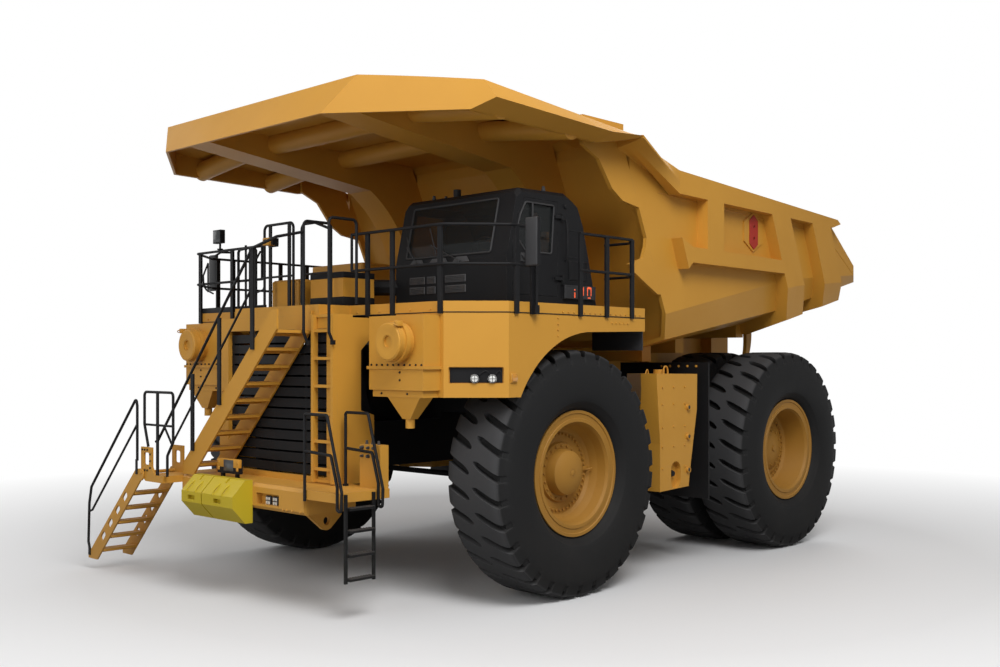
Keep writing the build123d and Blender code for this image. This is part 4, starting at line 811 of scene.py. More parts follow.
# ------------------------------------------------------------------ wheels
@dataclass
class Tyre:
    """Deep-tread rock tyre.

    Attributes:
        radius: Radius over the tread.
        half_width: Half the width over the sidewalls; not used.
        tread_half: Half the width of the tread at its shoulders.
        pitches: Number of lugs round each shoulder.
        groove_half: Half the width of a groove, in pitches.
        groove_depth: Depth of a groove in the tread.
        lean: How far the mouths at one shoulder lead the middle, in pitches.
        floor_share: Width of a groove's floor, as a share of its mouth.
        floor_draw: Share by which a shoulder groove's floor draws inward, per metre deep.
        columns: Points across one pitch.
    """

    radius: float = 1.710
    half_width: float = 0.510
    tread_half: float = 0.450
    pitches: int = 32
    groove_half: float = 0.165
    groove_depth: float = 0.085
    lean: float = 0.62
    floor_share: float = 0.72
    floor_draw: float = 0.25
    columns: int = 9

    def profile(self) -> list[tuple[float, float, float, float]]:
        """List the half section outwards: X, radius, groove depth and share of groove width."""
        rows = [
            (0.0, 0.0, 0.0, 0.35),
            (0.030, 0.0, 0.0, 0.35),
            (0.055, 0.0, 0.80, 0.55),
            (0.090, 0.0, 1.0, 0.85),
            (0.150, 0.0, 1.0, 1.0),
            (0.230, 0.001, 1.0, 1.0),
            (0.310, 0.002, 1.0, 1.0),
            (0.360, 0.006, 1.0, 1.0),
        ]
        section = [
            (x, self.radius - drop, depth * self.groove_depth, share)
            for x, drop, depth, share in rows
        ]
        section.append((0.412, self.radius - 0.020, 0.95 * self.groove_depth, 1.0))
        section.append((self.tread_half, self.radius - 0.041, 0.75 * self.groove_depth, 1.0))
        section.append((0.462, self.radius - 0.105, 0.50 * self.groove_depth, 0.95))
        section.append((0.474, self.radius - 0.165, 0.015, 0.90))
        section.append((0.484, self.radius - 0.185, 0.0, 0.90))
        wall = (
            (0.497, 1.450), (0.505, 1.370), (0.509, 1.290), (0.508, 1.210), (0.500, 1.130),
            (0.487, 1.060),
        )
        ridge = (
            (0.468, 1.000), (0.463, 0.992), (0.452, 0.984), (0.428, 0.950), (0.392, 0.915),
            (0.350, 0.893),
        )
        section += [(x, radius, 0.0, 1.0) for x, radius in wall + ridge]
        section.append((0.343, 0.880, 0.0, 1.0))
        section.append((0.343, 0.730, 0.0, 1.0))
        return section

    def lead(self, x: float) -> float:
        """Return how far a lug line at this X leads the middle, in pitches."""
        return self.lean * max(-1.0, min(1.0, x / self.tread_half))

    def sector(self, bench: Bench) -> bpy.types.Object:
        """Make one pitch of the tyre round the X axis, with its two staggered grooves.

        Args:
            bench: The bench.

        Returns:
            The open sector.
        """
        half = self.profile()
        rows = [(-x, radius, depth, share) for x, radius, depth, share in reversed(half[1:])] + half
        columns = self.columns
        bench.clear()
        bpy.ops.mesh.primitive_grid_add(
            x_subdivisions=columns - 1, y_subdivisions=len(rows) - 1, size=2.0
        )
        piece = bpy.context.object
        middle = len(half) - 1
        pitch = 2 * math.pi / self.pitches
        for index, vertex in enumerate(piece.data.vertices):
            row, column = divmod(index, columns)
            x, radius, _, share = rows[row]
            wide = self.groove_half * share
            outer, inner = (wide, self.groove_half) if row >= middle else (self.groove_half, wide)
            lines = (
                0.0, 0.25 - outer, 0.25, 0.25 + outer, 0.5, 0.75 - inner, 0.75, 0.75 + inner, 1.0
            )
            angle = (lines[column] + self.lead(x)) * pitch
            vertex.co = (x, radius * math.cos(angle), radius * math.sin(angle))
        wanted = []
        for face in piece.data.polygons:
            face_row, face_column = divmod(face.index, columns - 1)
            left = face_row >= middle
            span = (1, 2) if left else (5, 6)
            depths = (rows[face_row][2], rows[face_row + 1][2])
            wanted.append(face_column in span and max(depths) > 0.0)
        pick_faces(piece, wanted)
        before = len(piece.data.vertices)
        with editing(piece):
            bpy.ops.mesh.extrude_region_move(TRANSFORM_OT_translate={"value": (0, 0, 0)})
        for vertex in piece.data.vertices:
            if vertex.index >= before or vertex.select:
                self.sink(vertex, rows, pitch, middle)
        return piece

    def sink(self, vertex: bpy.types.MeshVertex, rows: list, pitch: float, middle: int) -> None:
        """Lower a groove's floor point by the depth of its row and narrow the floor.

        Args:
            vertex: A selected vertex of the groove's floor.
            rows: The whole section's rows.
            pitch: Angle of one pitch.
            middle: Index of the middle row.
        """
        x, y, z = vertex.co
        radius = math.hypot(y, z)
        row = min(
            range(len(rows)),
            key=lambda index: abs(rows[index][0] - x) + abs(rows[index][1] - radius),
        )
        depth = rows[row][2]
        centre = ((0.25 if row >= middle else 0.75) + self.lead(x)) * pitch
        angle = math.atan2(z, y)
        angle = centre + (angle - centre) * self.floor_share
        low = radius - depth
        inward = x * (1.0 - self.floor_draw * depth) if abs(x) > 0.4 else x
        vertex.co = (inward, low * math.cos(angle), low * math.sin(angle))

    def build(self, bench: Bench, name: str, body: str, node: str, centres: Sequence[Spot]) -> None:
        """Make the tyres of one wheel body.

        Args:
            bench: The bench.
            name: The piece's name.
            body: The wheel's body.
            node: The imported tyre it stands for.
            centres: Centre of each tyre.
        """
        sector = self.sector(bench)
        turns = [
            Matrix.Rotation(2 * math.pi * step / self.pitches, 4, "X")
            for step in range(self.pitches)
        ]
        ring = bench.repeat(sector, turns)
        with editing(ring):
            bpy.ops.mesh.select_all(action="SELECT")
            bpy.ops.mesh.remove_doubles(threshold=0.0004)
            bpy.ops.mesh.normals_make_consistent(inside=False)
        bench.clear()
        ring.select_set(True)
        bpy.context.view_layer.objects.active = ring
        tyres = bench.repeat(ring, [Matrix.Translation(centre) for centre in centres])
        bench.settle(tyres, name, body, "tyre", smooth=32.0)
        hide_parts(node)


@dataclass
class WheelSet:
    """All six wheels: tyres, studs, caps and valves.

    Attributes:
        front_x: How far a front wheel's centre stands from the middle.
        outer_x: The same for an outer rear wheel.
        inner_x: The same for an inner rear wheel.
    """

    front_x: float = 2.890
    outer_x: float = 2.890
    inner_x: float = 1.690

    def studs(
        self, bench: Bench, count: int, radius: float, place: Spot, way: Vector, size: float
    ) -> bpy.types.Object:
        """Make a circle of wheel studs.

        Args:
            bench: The bench.
            count: How many studs.
            radius: Radius of their circle.
            place: Centre of the circle on its face.
            way: Direction out of the face.
            size: Radius of each nut.

        Returns:
            The joined studs.
        """
        nut = bench.bolt(size, size * 1.3)
        stand = turn_to(way, place)
        places = []
        for step in range(count):
            angle = 2 * math.pi * step / count
            places.append(
                stand @ Matrix.Translation((radius * math.cos(angle), radius * math.sin(angle), 0))
            )
        return bench.repeat(nut, places)

    def valve(self, bench: Bench, x: float, sign: float, y: float) -> bpy.types.Object:
        """Make the valve bracket and its stem on the dish."""
        base = bench.block(
            (x, y + 0.50, HUB_Z - 0.02), (x + sign * 0.03, y + 0.62, HUB_Z + 0.05), 0.006
        )
        stem = bench.pipe(
            [
                (x + sign * 0.02, y + 0.52, HUB_Z), (x + sign * 0.09, y + 0.52, HUB_Z),
                (x + sign * 0.10, y + 0.62, HUB_Z + 0.02),
            ],
            0.010,
        )
        return bench.join([base, stem])

    def build(self, bench: Bench) -> None:
        """Make every wheel's pieces."""
        tyre = Tyre()
        for side, sign in SIDES:
            way = Axis.LEFT.way * sign
            body = f"front_wheel_{side}"
            hub = (sign * self.front_x, FRONT_AXLE_Y, HUB_Z)
            tyre.build(bench, f"front_tyre_{side}", body, f"tyre_front_{side}", [hub])
            rows = ((44, 0.535, 0.0503, 0.017), (20, 0.372, 0.0903, 0.014))
            parts = []
            for count, radius, offset, size in rows:
                spot = (sign * (self.front_x + offset), FRONT_AXLE_Y, HUB_Z)
                parts.append(self.studs(bench, count, radius, spot, way, size))
            cap = (sign * (self.front_x + 0.300), FRONT_AXLE_Y, HUB_Z)
            parts.append(
                bench.turned(
                    cap, way, 0.062, 0.010, ((0.012, 0.0), (0.0, -0.006), (0.018, 0.012)), 24
                )
            )
            parts.append(self.valve(bench, sign * (self.front_x + 0.0503), sign, FRONT_AXLE_Y))
            # Studs, cap and valve take the darker wheel yellow: painted shade of the dish.
            bench.settle(
                parts, f"front_wheel_studs_{side}", body, "yellow_paint", bench.palette.wheel
            )

            body = f"rear_wheels_{side}"
            centres = [(sign * x, REAR_AXLE_Y, HUB_Z) for x in (self.outer_x, self.inner_x)]
            tyre.build(bench, f"rear_tyres_{side}", body, f"tyres_rear_{side}", centres)
            parts = []
            for count, radius, offset, size in (
                (40, 0.545, -0.0597, 0.016), (12, 0.300, 0.045, 0.015)
            ):
                seat = bench.touch(
                    f"rims_rear_{side}", (sign * (self.outer_x + 0.6), REAR_AXLE_Y, HUB_Z + radius),
                    -way,
                )
                x = seat.x if seat is not None else sign * (self.outer_x + offset)
                parts.append(self.studs(bench, count, radius, (x, REAR_AXLE_Y, HUB_Z), way, size))
            cap = bench.touch(
                f"rims_rear_{side}", (sign * (self.outer_x + 0.6), REAR_AXLE_Y, HUB_Z), -way
            )
            parts.append(
                bench.turned(tuple(cap), way, 0.055, 0.008, ((0.010, 0.0), (0.0, 0.010)), 24)
            )
            # Studs and cap take the darker wheel yellow: painted shade of the dish.
            bench.settle(
                parts, f"rear_wheel_studs_{side}", body, "yellow_paint", bench.palette.wheel
            )


# ------------------------------------------------------------------ front end
@dataclass
class FrontEnd:
    """Lamps, bolts and panels of the fenders, guard and bumper.

    Attributes:
        deck_edge: How far a deck's side stands from the middle.
        chamfer_run: Length of a deck's cut corner along X and Y.
        pocket_z: Height of a fender's lamp pocket.
        lamp_drop: How far the lamps sit below the pocket's middle.
    """

    deck_edge: float = 3.450
    chamfer_run: float = 0.585
    pocket_z: float = 3.085
    lamp_drop: float = 0.045

    def work_lamp(
        self, bench: Bench, place: Spot, way: Vector, radius: float
    ) -> tuple[bpy.types.Object, bpy.types.Object]:
        """Make a round work lamp with its bowl, rim and lens.

        Args:
            bench: The bench.
            place: Middle of its back.
            way: Direction it shines.
            radius: Radius of its rim.

        Returns:
            The bowl and the lens.
        """
        bowl = bench.turned(
            place, way, radius * 0.8, radius * 0.6,
            ((-radius * 0.2, 0.0), (0.0, radius * 0.5), (radius * 0.14, 0.0), (0.0, -radius * 0.1)),
            28,
        )
        seat = Vector(place) + way * (radius * 0.98)
        lens = bench.turned(
            tuple(seat), way, radius * 0.85, radius * 0.04,
            ((radius * 0.2, radius * 0.06), (radius * 0.3, radius * 0.04)), 28,
        )
        bars = []
        side = way.cross(Axis.UP.way).normalized()
        for run in (side, Axis.UP.way):
            start = seat + way * radius * 0.14 - run * radius * 0.8
            end = seat + way * radius * 0.14 + run * radius * 0.8
            bars.append(bench.pipe([tuple(start), tuple(end)], radius * 0.05, smooth=False))
        return bench.join([bowl, *bars]), lens

    def fender_lamps(self, bench: Bench, side: str, sign: float) -> None:
        """Put two round lamps with their cables into a fender's pocket."""
        out = Vector((sign, -1.0, 0.0)).normalized()
        along = Vector((sign, 1.0, 0.0)).normalized()
        corner = Vector(
            (
                sign * (self.deck_edge - self.chamfer_run / 2), aft(-2.160 + self.chamfer_run / 2),
                self.pocket_z,
            )
        )
        bowls, lenses = [], []
        for shift in (-0.02, 0.205):
            seat = corner + along * shift - out * 0.040 - Vector((0, 0, self.lamp_drop))
            bowl, lens = self.work_lamp(bench, tuple(seat), out, 0.064)
            bowls.append(bowl)
            lenses.append(lens)
        for low, high in ((0.03, 0.18), (0.24, 0.33)):
            start = corner + along * low - out * 0.02
            end = corner + along * high - out * 0.02
            middle = (start + end) / 2 + Vector((0, 0, 0.055))
            bowls.append(
                bench.pipe(
                    [
                        tuple(start), tuple(middle + (start - end) * 0.1),
                        tuple(middle + (end - start) * 0.3), tuple(end),
                    ],
                    0.006,
                )
            )
        lift = Vector((0, 0, 0.096))
        panel = [
            corner + along * run - out * 0.043 + lift * rise
            for run, rise in ((-0.335, -1), (0.335, -1), (0.335, 1), (-0.335, 1))
        ]
        bowls.append(bench.plate([tuple(point) for point in panel], tuple(out * 0.004), 0.001))
        bench.settle(bowls, f"fender_lamps_{side}", "chassis", "black_paint")
        bench.settle(lenses, f"fender_lenses_{side}", "chassis", "glass", bench.palette.lamp)

    def marker(self, bench: Bench, side: str, sign: float) -> None:
        """Make the small amber side marker in its yellow frame."""
        seat = bench.touch(
            f"fender_{side}", (sign * OUTSIDE_X, aft(-1.49), 3.05), Axis.LEFT.way * -sign
        )
        if seat is None:
            return
        x, y, z = seat
        frame = bench.block(
            (x, y - 0.060, z - 0.062), (x + sign * 0.020, y + 0.060, z + 0.062), 0.006
        )
        lens = bench.block(
            (x + sign * 0.016, y - 0.046, z - 0.048), (x + sign * 0.034, y + 0.046, z + 0.048),
            0.012,
        )
        bench.settle(frame, f"marker_frame_{side}", "chassis", "yellow_paint")
        bench.settle(lens, f"marker_lens_{side}", "chassis", "glass", bench.palette.amber)

    def air_cleaner(self, bench: Bench, side: str, sign: float) -> None:
        """Dress an air cleaner: cover rings, clamp, latch and bolts."""
        x = sign * 2.390
        z = DECK_Z - 0.520
        ring = bench.turned(
            (x, aft(-2.679), z), Axis.NOSE.way, 0.238, 0.001,
            ((0.012, 0.012), (0.050, 0.002), (0.035, -0.008)), 48,
        )
        pick_faces(
            ring, [abs(face.normal.y) > 0.9 and face.area > 0.04 for face in ring.data.polygons]
        )
        with editing(ring):
            bpy.ops.mesh.inset(thickness=0.055, depth=0.0)
            bpy.ops.mesh.delete(type="FACE")
        parts = [ring]
        for y, radius in ((-2.640, 0.247), (-2.480, 0.247)):
            parts.append(
                bench.turned((x, aft(y), z), Axis.NOSE.way, radius, 0.014, ((0.004, 0.0),), 48)
            )
        parts.append(
            bench.block(
                (x + sign * 0.14, aft(-2.70), z + 0.19), (x + sign * 0.20, aft(-2.60), z + 0.262),
                0.008,
            )
        )
        parts.append(
            bench.pipe(
                [
                    (x + sign * 0.15, aft(-2.72), z + 0.24),
                    (x + sign * 0.19, aft(-2.76), z + 0.22),
                    (x + sign * 0.21, aft(-2.70), z + 0.20),
                ],
                0.007,
            )
        )
        bench.settle(parts, f"air_cleaner_rings_{side}", "chassis", "yellow_paint")
        starts = [(sign * (1.80 + 0.108 * step), aft(-3.0), 3.215) for step in range(10)]
        starts += [(x - sign * 0.03, aft(-3.0), height) for height in (3.02, 3.12)]
        starts += [(x + sign * 0.08, aft(-3.0), 2.845), (x - sign * 0.42, aft(-3.0), 2.845)]
        bench.bolt_rows(
            f"air_cleaner_bolts_{side}", f"air_cleaner_{side}", "chassis", "black_paint",
            Axis.TAIL.way, starts, 0.011,
        )

    def deck_edge_bolts(self, bench: Bench, side: str, sign: float) -> None:
        """Seat the bolt rows along a deck's edge and a fender's side."""
        inward = Axis.LEFT.way * -sign
        starts = [
            (sign * OUTSIDE_X, aft(-0.52 + 0.115 * step), DECK_Z - 0.108) for step in range(16)
        ]
        bench.bolt_rows(
            f"deck_edge_bolts_{side}", f"deck_{side}", "chassis", "yellow_paint", inward, starts,
            0.010,
        )
        rows = [(sign * OUTSIDE_X, aft(-0.62), height) for height in (3.84, 3.76, 3.68, 3.60)]
        rows += [(sign * OUTSIDE_X, aft(0.55 + 0.09 * step), 3.80) for step in range(5)]
        bench.bolt_rows(
            f"fender_bolts_{side}", f"fender_{side}", "chassis", "yellow_paint", inward, rows, 0.011
        )
        reach = self.deck_edge + 0.002
        route = [
            (1.02, -2.162), (reach - self.chamfer_run, -2.162), (reach, -2.162 + self.chamfer_run),
            (reach, 1.32),
        ]
        seam = bench.pipe(
            [(sign * x, aft(y), DECK_Z - 0.142) for x, y in route], 0.007, smooth=False
        )
        bench.settle(seam, f"deck_seam_{side}", "chassis", "black_paint")
        front = [(sign * x, aft(-2.8), DECK_Z - 0.10) for x in (1.15, 1.62, 2.24, 2.62)]
        bench.bolt_rows(
            f"deck_nose_bolts_{side}", f"deck_{side}", "chassis", "yellow_paint", Axis.TAIL.way,
            front, 0.012,
        )

    def bumper(self, bench: Bench) -> None:
        """Fit the bumper's lamp pairs, their surrounds and bolts."""
        surround, lenses = [], []
        for sign in (1.0, -1.0):
            for x in (0.60, 0.76):
                seat = bench.touch(
                    "front_bumper", (sign * x, aft(AHEAD_OF_NOSE), 1.40), Axis.TAIL.way
                )
                if seat is None:
                    continue
                y = seat.y
                surround.append(
                    bench.block(
                        (sign * x - 0.062, y - 0.030, 1.335), (sign * x + 0.062, y + 0.002, 1.465),
                        0.010,
                    )
                )
                for row in (-0.028, 0.028):
                    for column in (-0.026, 0.026):
                        lens = bench.block(
                            (sign * x + column - 0.020, y - 0.036, 1.400 + row - 0.021),
                            (sign * x + column + 0.020, y - 0.028, 1.400 + row + 0.021), 0.005,
                        )
                        lenses.append(lens)
        if surround:
            bench.settle(surround, "bumper_lamps", "chassis", "black_paint", bench.palette.plastic)
            bench.settle(lenses, "bumper_lenses", "chassis", "glass", bench.palette.lamp)
        starts = [(x, aft(AHEAD_OF_NOSE), 1.32) for x in (1.02, 1.10, 1.22, 1.40, -1.02, -1.22)]
        bench.bolt_rows(
            "bumper_bolts", "front_bumper", "chassis", "yellow_paint", Axis.TAIL.way, starts, 0.013
        )

    def guard(self, bench: Bench) -> None:
        """Seat the guard's bolt groups."""
        starts = [
            (1.32 + 0.10 * column, aft(AHEAD_OF_NOSE), 2.62 + 0.10 * row)
            for row in range(3)
            for column in range(2)
        ]
        starts += [(-x, y, z) for x, y, z in starts]
        bench.bolt_rows(
            "guard_bolts", "radiator_guard", "chassis", "yellow_paint", Axis.TAIL.way, starts, 0.013
        )

    def build(self, bench: Bench) -> None:
        """Make all pieces of the front end."""
        for side, sign in SIDES:
            self.fender_lamps(bench, side, sign)
            self.marker(bench, side, sign)
            self.air_cleaner(bench, side, sign)
            self.deck_edge_bolts(bench, side, sign)
        self.bumper(bench)
        self.guard(bench)


# ------------------------------------------------------------------ cab
@dataclass
class CabTrim:
    """Everything fine on and in the cab.

    Attributes:
        base: Height of the cab's foot.
        side_x: The cab's outer side.
        screen_foot: Windscreen's lower edge: behind the front axle, above the foot.
        screen_head: Windscreen's upper edge, likewise.
        seal_reach: Where a seal starts to bend before a corner.
        display_out: How far the number display stands off the cab.
        wheel_x: Middle of the steering wheel.
        wheel_y: Its Y.
        wheel_height: Its height above the foot.
    """

    base: float = DECK_Z
    side_x: float = 3.100
    screen_foot: tuple[float, float] = (-1.228, 0.680)
    screen_head: tuple[float, float] = (-1.056, 1.430)
    seal_reach: float = 0.075
    display_out: float = 0.045
    wheel_x: float = 2.18
    wheel_y: float = aft(-0.62)
    wheel_height: float = 0.80

    def screen_point(self, x: float, height: float, lift: float = 0.0) -> Spot:
        """Return a point on the windscreen's plane, raised off it.

        Args:
            x: Its X.
            height: Height above the deck.
            lift: Distance ahead of the pane.

        Returns:
            The point.
        """
        (foot, low), (head, high) = self.screen_foot, self.screen_head
        slope = (head - foot) / (high - low)
        return (x, aft(foot + slope * (height - low)) - lift, self.base + height)

    def gasket(self, bench: Bench, corners: Sequence[Spot], radius: float) -> bpy.types.Object:
        """Run a rubber seal round an opening through its corners."""
        loop: list[Spot] = []
        count = len(corners)
        for index, corner in enumerate(corners):
            before, after = Vector(corners[index - 1]), Vector(corners[(index + 1) % count])
            here = Vector(corner)
            loop.append(tuple(here + (before - here).normalized() * self.seal_reach))
            loop.append(corner)
            loop.append(tuple(here + (after - here).normalized() * self.seal_reach))
        loop.append(loop[0])
        return bench.pipe(loop, radius)

    def windscreen(self, bench: Bench) -> None:
        """Make the windscreen's seal, wipers and cowl strips."""
        corners = [
            self.screen_point(x, height, 0.004)
            for x, height in ((1.11, 0.69), (1.11, 1.42), (2.79, 1.42), (2.79, 0.69))
        ]
        bench.settle(
            self.gasket(bench, corners, 0.014), "windscreen_seal", "chassis", "black_paint",
            bench.palette.plastic,
        )
        parts = []
        for pivot, tip, blade in ((1.40, 1.12, 0.34), (2.25, 1.62, 0.55)):
            start = self.screen_point(pivot, 0.60, 0.035)
            end = self.screen_point(tip, 0.86, 0.040)
            parts.append(bench.turned(start, Axis.NOSE.way, 0.022, 0.020, ((0.006, 0.006),), 16))
            parts.append(
                bench.pipe([start, self.screen_point((pivot + tip) / 2, 0.74, 0.06), end], 0.008)
            )
            one = Vector(self.screen_point(tip - blade * 0.15, 0.86 + blade * 0.45, 0.028))
            two = Vector(self.screen_point(tip + blade * 0.25, 0.86 - blade * 0.28, 0.028))
            parts.append(bench.pipe([tuple(one), tuple(two)], 0.009, smooth=False))
        bench.settle(parts, "wipers", "chassis", "black_paint", bench.palette.plastic)
        strips = []
        for low, high in ((1.20, 1.52), (1.60, 2.00), (2.08, 2.42)):
            outline = [
                self.screen_point(low, 0.585, 0.014), self.screen_point(high, 0.585, 0.014),
                self.screen_point(high - 0.07, 0.665, 0.014),
                self.screen_point(low + 0.07, 0.665, 0.014),
            ]
            strips.append(bench.plate(outline, (0, 0.012, 0), 0.002))
        bench.settle(strips, "cowl_strips", "chassis", "black_paint", bench.palette.grey)

    def vents(self, bench: Bench) -> None:
        """Make the two rows of slatted vents on the cab's nose."""
        y = aft(-1.240)
        frames = []
        for row in (0.175, 0.315):
            for low, high in ((1.20, 1.52), (1.56, 1.74), (1.78, 1.88), (1.93, 2.34)):
                frame = bench.block(
                    (low, y - 0.012, self.base + row), (high, y + 0.004, self.base + row + 0.105),
                    0.006, 1,
                )
                pick_faces(frame, [face.normal.y < -0.9 for face in frame.data.polygons])
                with editing(frame):
                    bpy.ops.mesh.inset(thickness=0.010, depth=0.0)
                    bpy.ops.mesh.inset(thickness=0.002, depth=-0.008)
                frames.append(frame)
                for slat in range(4):
                    z = self.base + row + 0.022 + slat * 0.020
                    frames.append(
                        bench.block(
                            (low + 0.012, y - 0.014, z), (high - 0.012, y - 0.004, z + 0.009),
                            0.003, 1,
                        )
                    )
        bench.settle(frames, "cab_vents", "chassis", "black_paint", bench.palette.grey)

    def door_parts(self, bench: Bench) -> None:
        """Make the door's pane, seals and handle."""
        x = self.side_x - 0.028
        outline = [
            (-1.066, 0.904), (-0.981, 1.188), (-0.878, 1.366), (-0.294, 1.366), (-0.349, 0.704),
            (-0.878, 0.704),
        ]
        pane = bench.plate([(x, aft(y), self.base + z) for y, z in outline], (0.008, 0, 0), 0.001)
        bench.settle(pane, "door_pane", "cab_door", "glass")
        face = self.side_x + 0.001
        seal = self.gasket(bench, [(face, aft(y), self.base + z) for y, z in outline], 0.012)
        mid = bench.block(
            (face - 0.006, aft(-0.748), self.base + 0.71),
            (face + 0.010, aft(-0.722), self.base + 1.36), 0.005,
        )
        bench.settle([seal, mid], "door_seal", "cab_door", "black_paint", bench.palette.plastic)
        cup = bench.block(
            (face - 0.004, aft(-0.98), self.base + 0.56),
            (face + 0.012, aft(-0.90), self.base + 0.68), 0.010,
        )
        grip = bench.pipe(
            [
                (face, aft(-0.965), self.base + 0.66), (face + 0.03, aft(-0.965), self.base + 0.64),
                (face + 0.03, aft(-0.915), self.base + 0.60), (face, aft(-0.915), self.base + 0.58),
            ],
            0.008,
        )
        bench.settle([cup, grip], "door_handle", "cab_door", "black_paint", bench.palette.plastic)

    def side_parts(self, bench: Bench) -> None:
        """Make the grab rail, seams, filter lid and small lamp behind the door."""
        x = self.side_x
        rail = bench.pipe(
            [
                (x, aft(-0.06), self.base + 1.20), (x + 0.05, aft(-0.06), self.base + 1.20),
                (x + 0.05, aft(-0.06), self.base + 0.62), (x, aft(-0.06), self.base + 0.62),
            ],
            0.012,
        )
        lid = bench.block(
            (x - 0.002, aft(0.02), self.base + 0.36), (x + 0.010, aft(0.42), self.base + 0.64),
            0.008,
        )
        pick_faces(lid, [face.normal.x > 0.9 for face in lid.data.polygons])
        with editing(lid):
            bpy.ops.mesh.inset(thickness=0.02, depth=0.0)
            bpy.ops.mesh.inset(thickness=0.004, depth=-0.005)
        seams = [
            bench.block(
                (x - 0.001, aft(0.0), self.base + z), (x + 0.005, aft(0.34), self.base + z + 0.012),
                0.002,
            )
            for z in (0.34, 0.68, 1.05)
        ]
        lamp = bench.turned(
            (x, aft(-0.06), self.base + 1.38), Axis.LEFT.way, 0.03, 0.02, ((0.006, 0.006),), 20
        )
        bench.settle([rail, lid, lamp, *seams], "cab_side_fittings", "chassis", "black_paint")

    def digit(self, bench: Bench, y: float, z: float, height: float) -> list[bpy.types.Object]:
        """Make a lit zero from six bars.

        Args:
            bench: The bench.
            y: Its front edge.
            z: Its foot.
            height: Its height.

        Returns:
            Its bars.
        """
        x = self.side_x + self.display_out
        wide = height * 0.58
        thick = height * 0.10
        bars = []
        for low, high in (
            ((0.0, 0.04), (thick, height / 2 - 0.006)),
            ((0.0, height / 2 + 0.006), (thick, height - 0.04 * height)),
            ((wide - thick, 0.04), (wide, height / 2 - 0.006)),
            ((wide - thick, height / 2 + 0.006), (wide, height - 0.04 * height)),
            ((thick, 0.0), (wide - thick, thick)),
            ((thick, height - thick), (wide - thick, height)),
        ):
            bars.append(
                bench.block(
                    (x - 0.001, y + low[0], z + low[1] * 0.9),
                    (x + 0.006, y + high[0], z + high[1]), 0.003, 1,
                )
            )
        return bars

    def display(self, bench: Bench) -> None:
        """Make the lit number display, its small marks and its rim."""
        z = self.base + 0.118
        bars = []
        for y in (aft(0.20), aft(0.37)):
            bars += self.digit(bench, y, z, 0.165)
        bars.append(
            bench.block(
                (self.side_x + 0.044, aft(0.085), z + 0.10),
                (self.side_x + 0.051, aft(0.110), z + 0.12), 0.003, 1,
            )
        )
        bars.append(
            bench.block(
                (self.side_x + 0.044, aft(0.085), z), (self.side_x + 0.051, aft(0.110), z + 0.075),
                0.003, 1,
            )
        )
        bench.settle(bars, "display_digits", "chassis", "black_paint", bench.palette.digits)
        x = self.side_x + self.display_out
        rim = bench.block(
            (x - 0.004, aft(-0.12), self.base + 0.10), (x + 0.004, aft(0.56), self.base + 0.29),
            0.008, 1,
        )
        pick_faces(rim, [face.normal.x > 0.9 for face in rim.data.polygons])
        with editing(rim):
            bpy.ops.mesh.inset(thickness=0.012, depth=0.0)
            bpy.ops.mesh.inset(thickness=0.003, depth=-0.003)
        bench.settle(rim, "display_rim", "chassis", "black_paint", bench.palette.plastic)

    def roof(self, bench: Bench) -> None:
        """Make the roof fittings and the beacon's lens."""
        parts = []
        for x, y in ((1.30, -0.86), (1.38, -0.70), (3.00, -0.40)):
            top = bench.touch("cab_shell", (x, aft(y), 6.2), Axis.DOWN.way)
            if top is None:
                continue
            parts.append(
                bench.turned(
                    tuple(top), Axis.UP.way, 0.030, 0.035,
                    ((0.008, 0.0), (0.0, 0.030), (0.006, 0.008)), 20,
                )
            )
        if parts:
            bench.settle(parts, "roof_fittings", "chassis", "black_paint", bench.palette.plastic)
        lens = bench.turned(
            (1.770, aft(-0.850), self.base + 1.6), Axis.UP.way, 0.050, 0.03,
            ((0.010, 0.012), (0.012, 0.006)), 24,
        )
        bench.settle(lens, "beacon_lens", "chassis", "glass", bench.palette.amber)

    def inside(self, bench: Bench) -> None:
        """Make the steering wheel, console, dash and second seat behind the glass."""
        bench.clear()
        bpy.ops.mesh.primitive_torus_add(
            major_radius=0.20, minor_radius=0.016, major_segments=36, minor_segments=10,
            location=(self.wheel_x, self.wheel_y, self.base + self.wheel_height),
            rotation=(math.radians(-58), 0, 0),
        )
        wheel = bpy.context.object
        bench.fix_place(wheel)
        column = bench.pipe(
            [
                (self.wheel_x, aft(-0.92), self.base + 0.45),
                (self.wheel_x, aft(-0.70), self.base + 0.74),
                (self.wheel_x, self.wheel_y, self.base + self.wheel_height),
            ],
            0.030,
        )
        ends = [(x, self.wheel_y, self.base + self.wheel_height) for x in (2.0, 2.36)]
        spoke = bench.pipe(ends, 0.012, smooth=False)
        console = bench.block(
            (2.50, aft(-0.35), self.base + 0.10), (2.72, aft(0.10), self.base + 0.62), 0.03
        )
        dash = bench.block(
            (1.92, aft(-0.955), self.base + 0.605), (2.70, aft(-0.80), self.base + 0.70), 0.03
        )
        second = bench.block(
            (1.15, aft(-0.30), self.base + 0.10), (1.65, aft(0.10), self.base + 0.46), 0.05
        )
        back = bench.block(
            (1.17, aft(0.02), self.base + 0.46), (1.63, aft(0.14), self.base + 1.02), 0.04
        )
        bench.settle(
            [wheel, column, spoke, console, dash, second, back], "cab_inside", "chassis",
            "black_paint", bench.palette.plastic,
        )

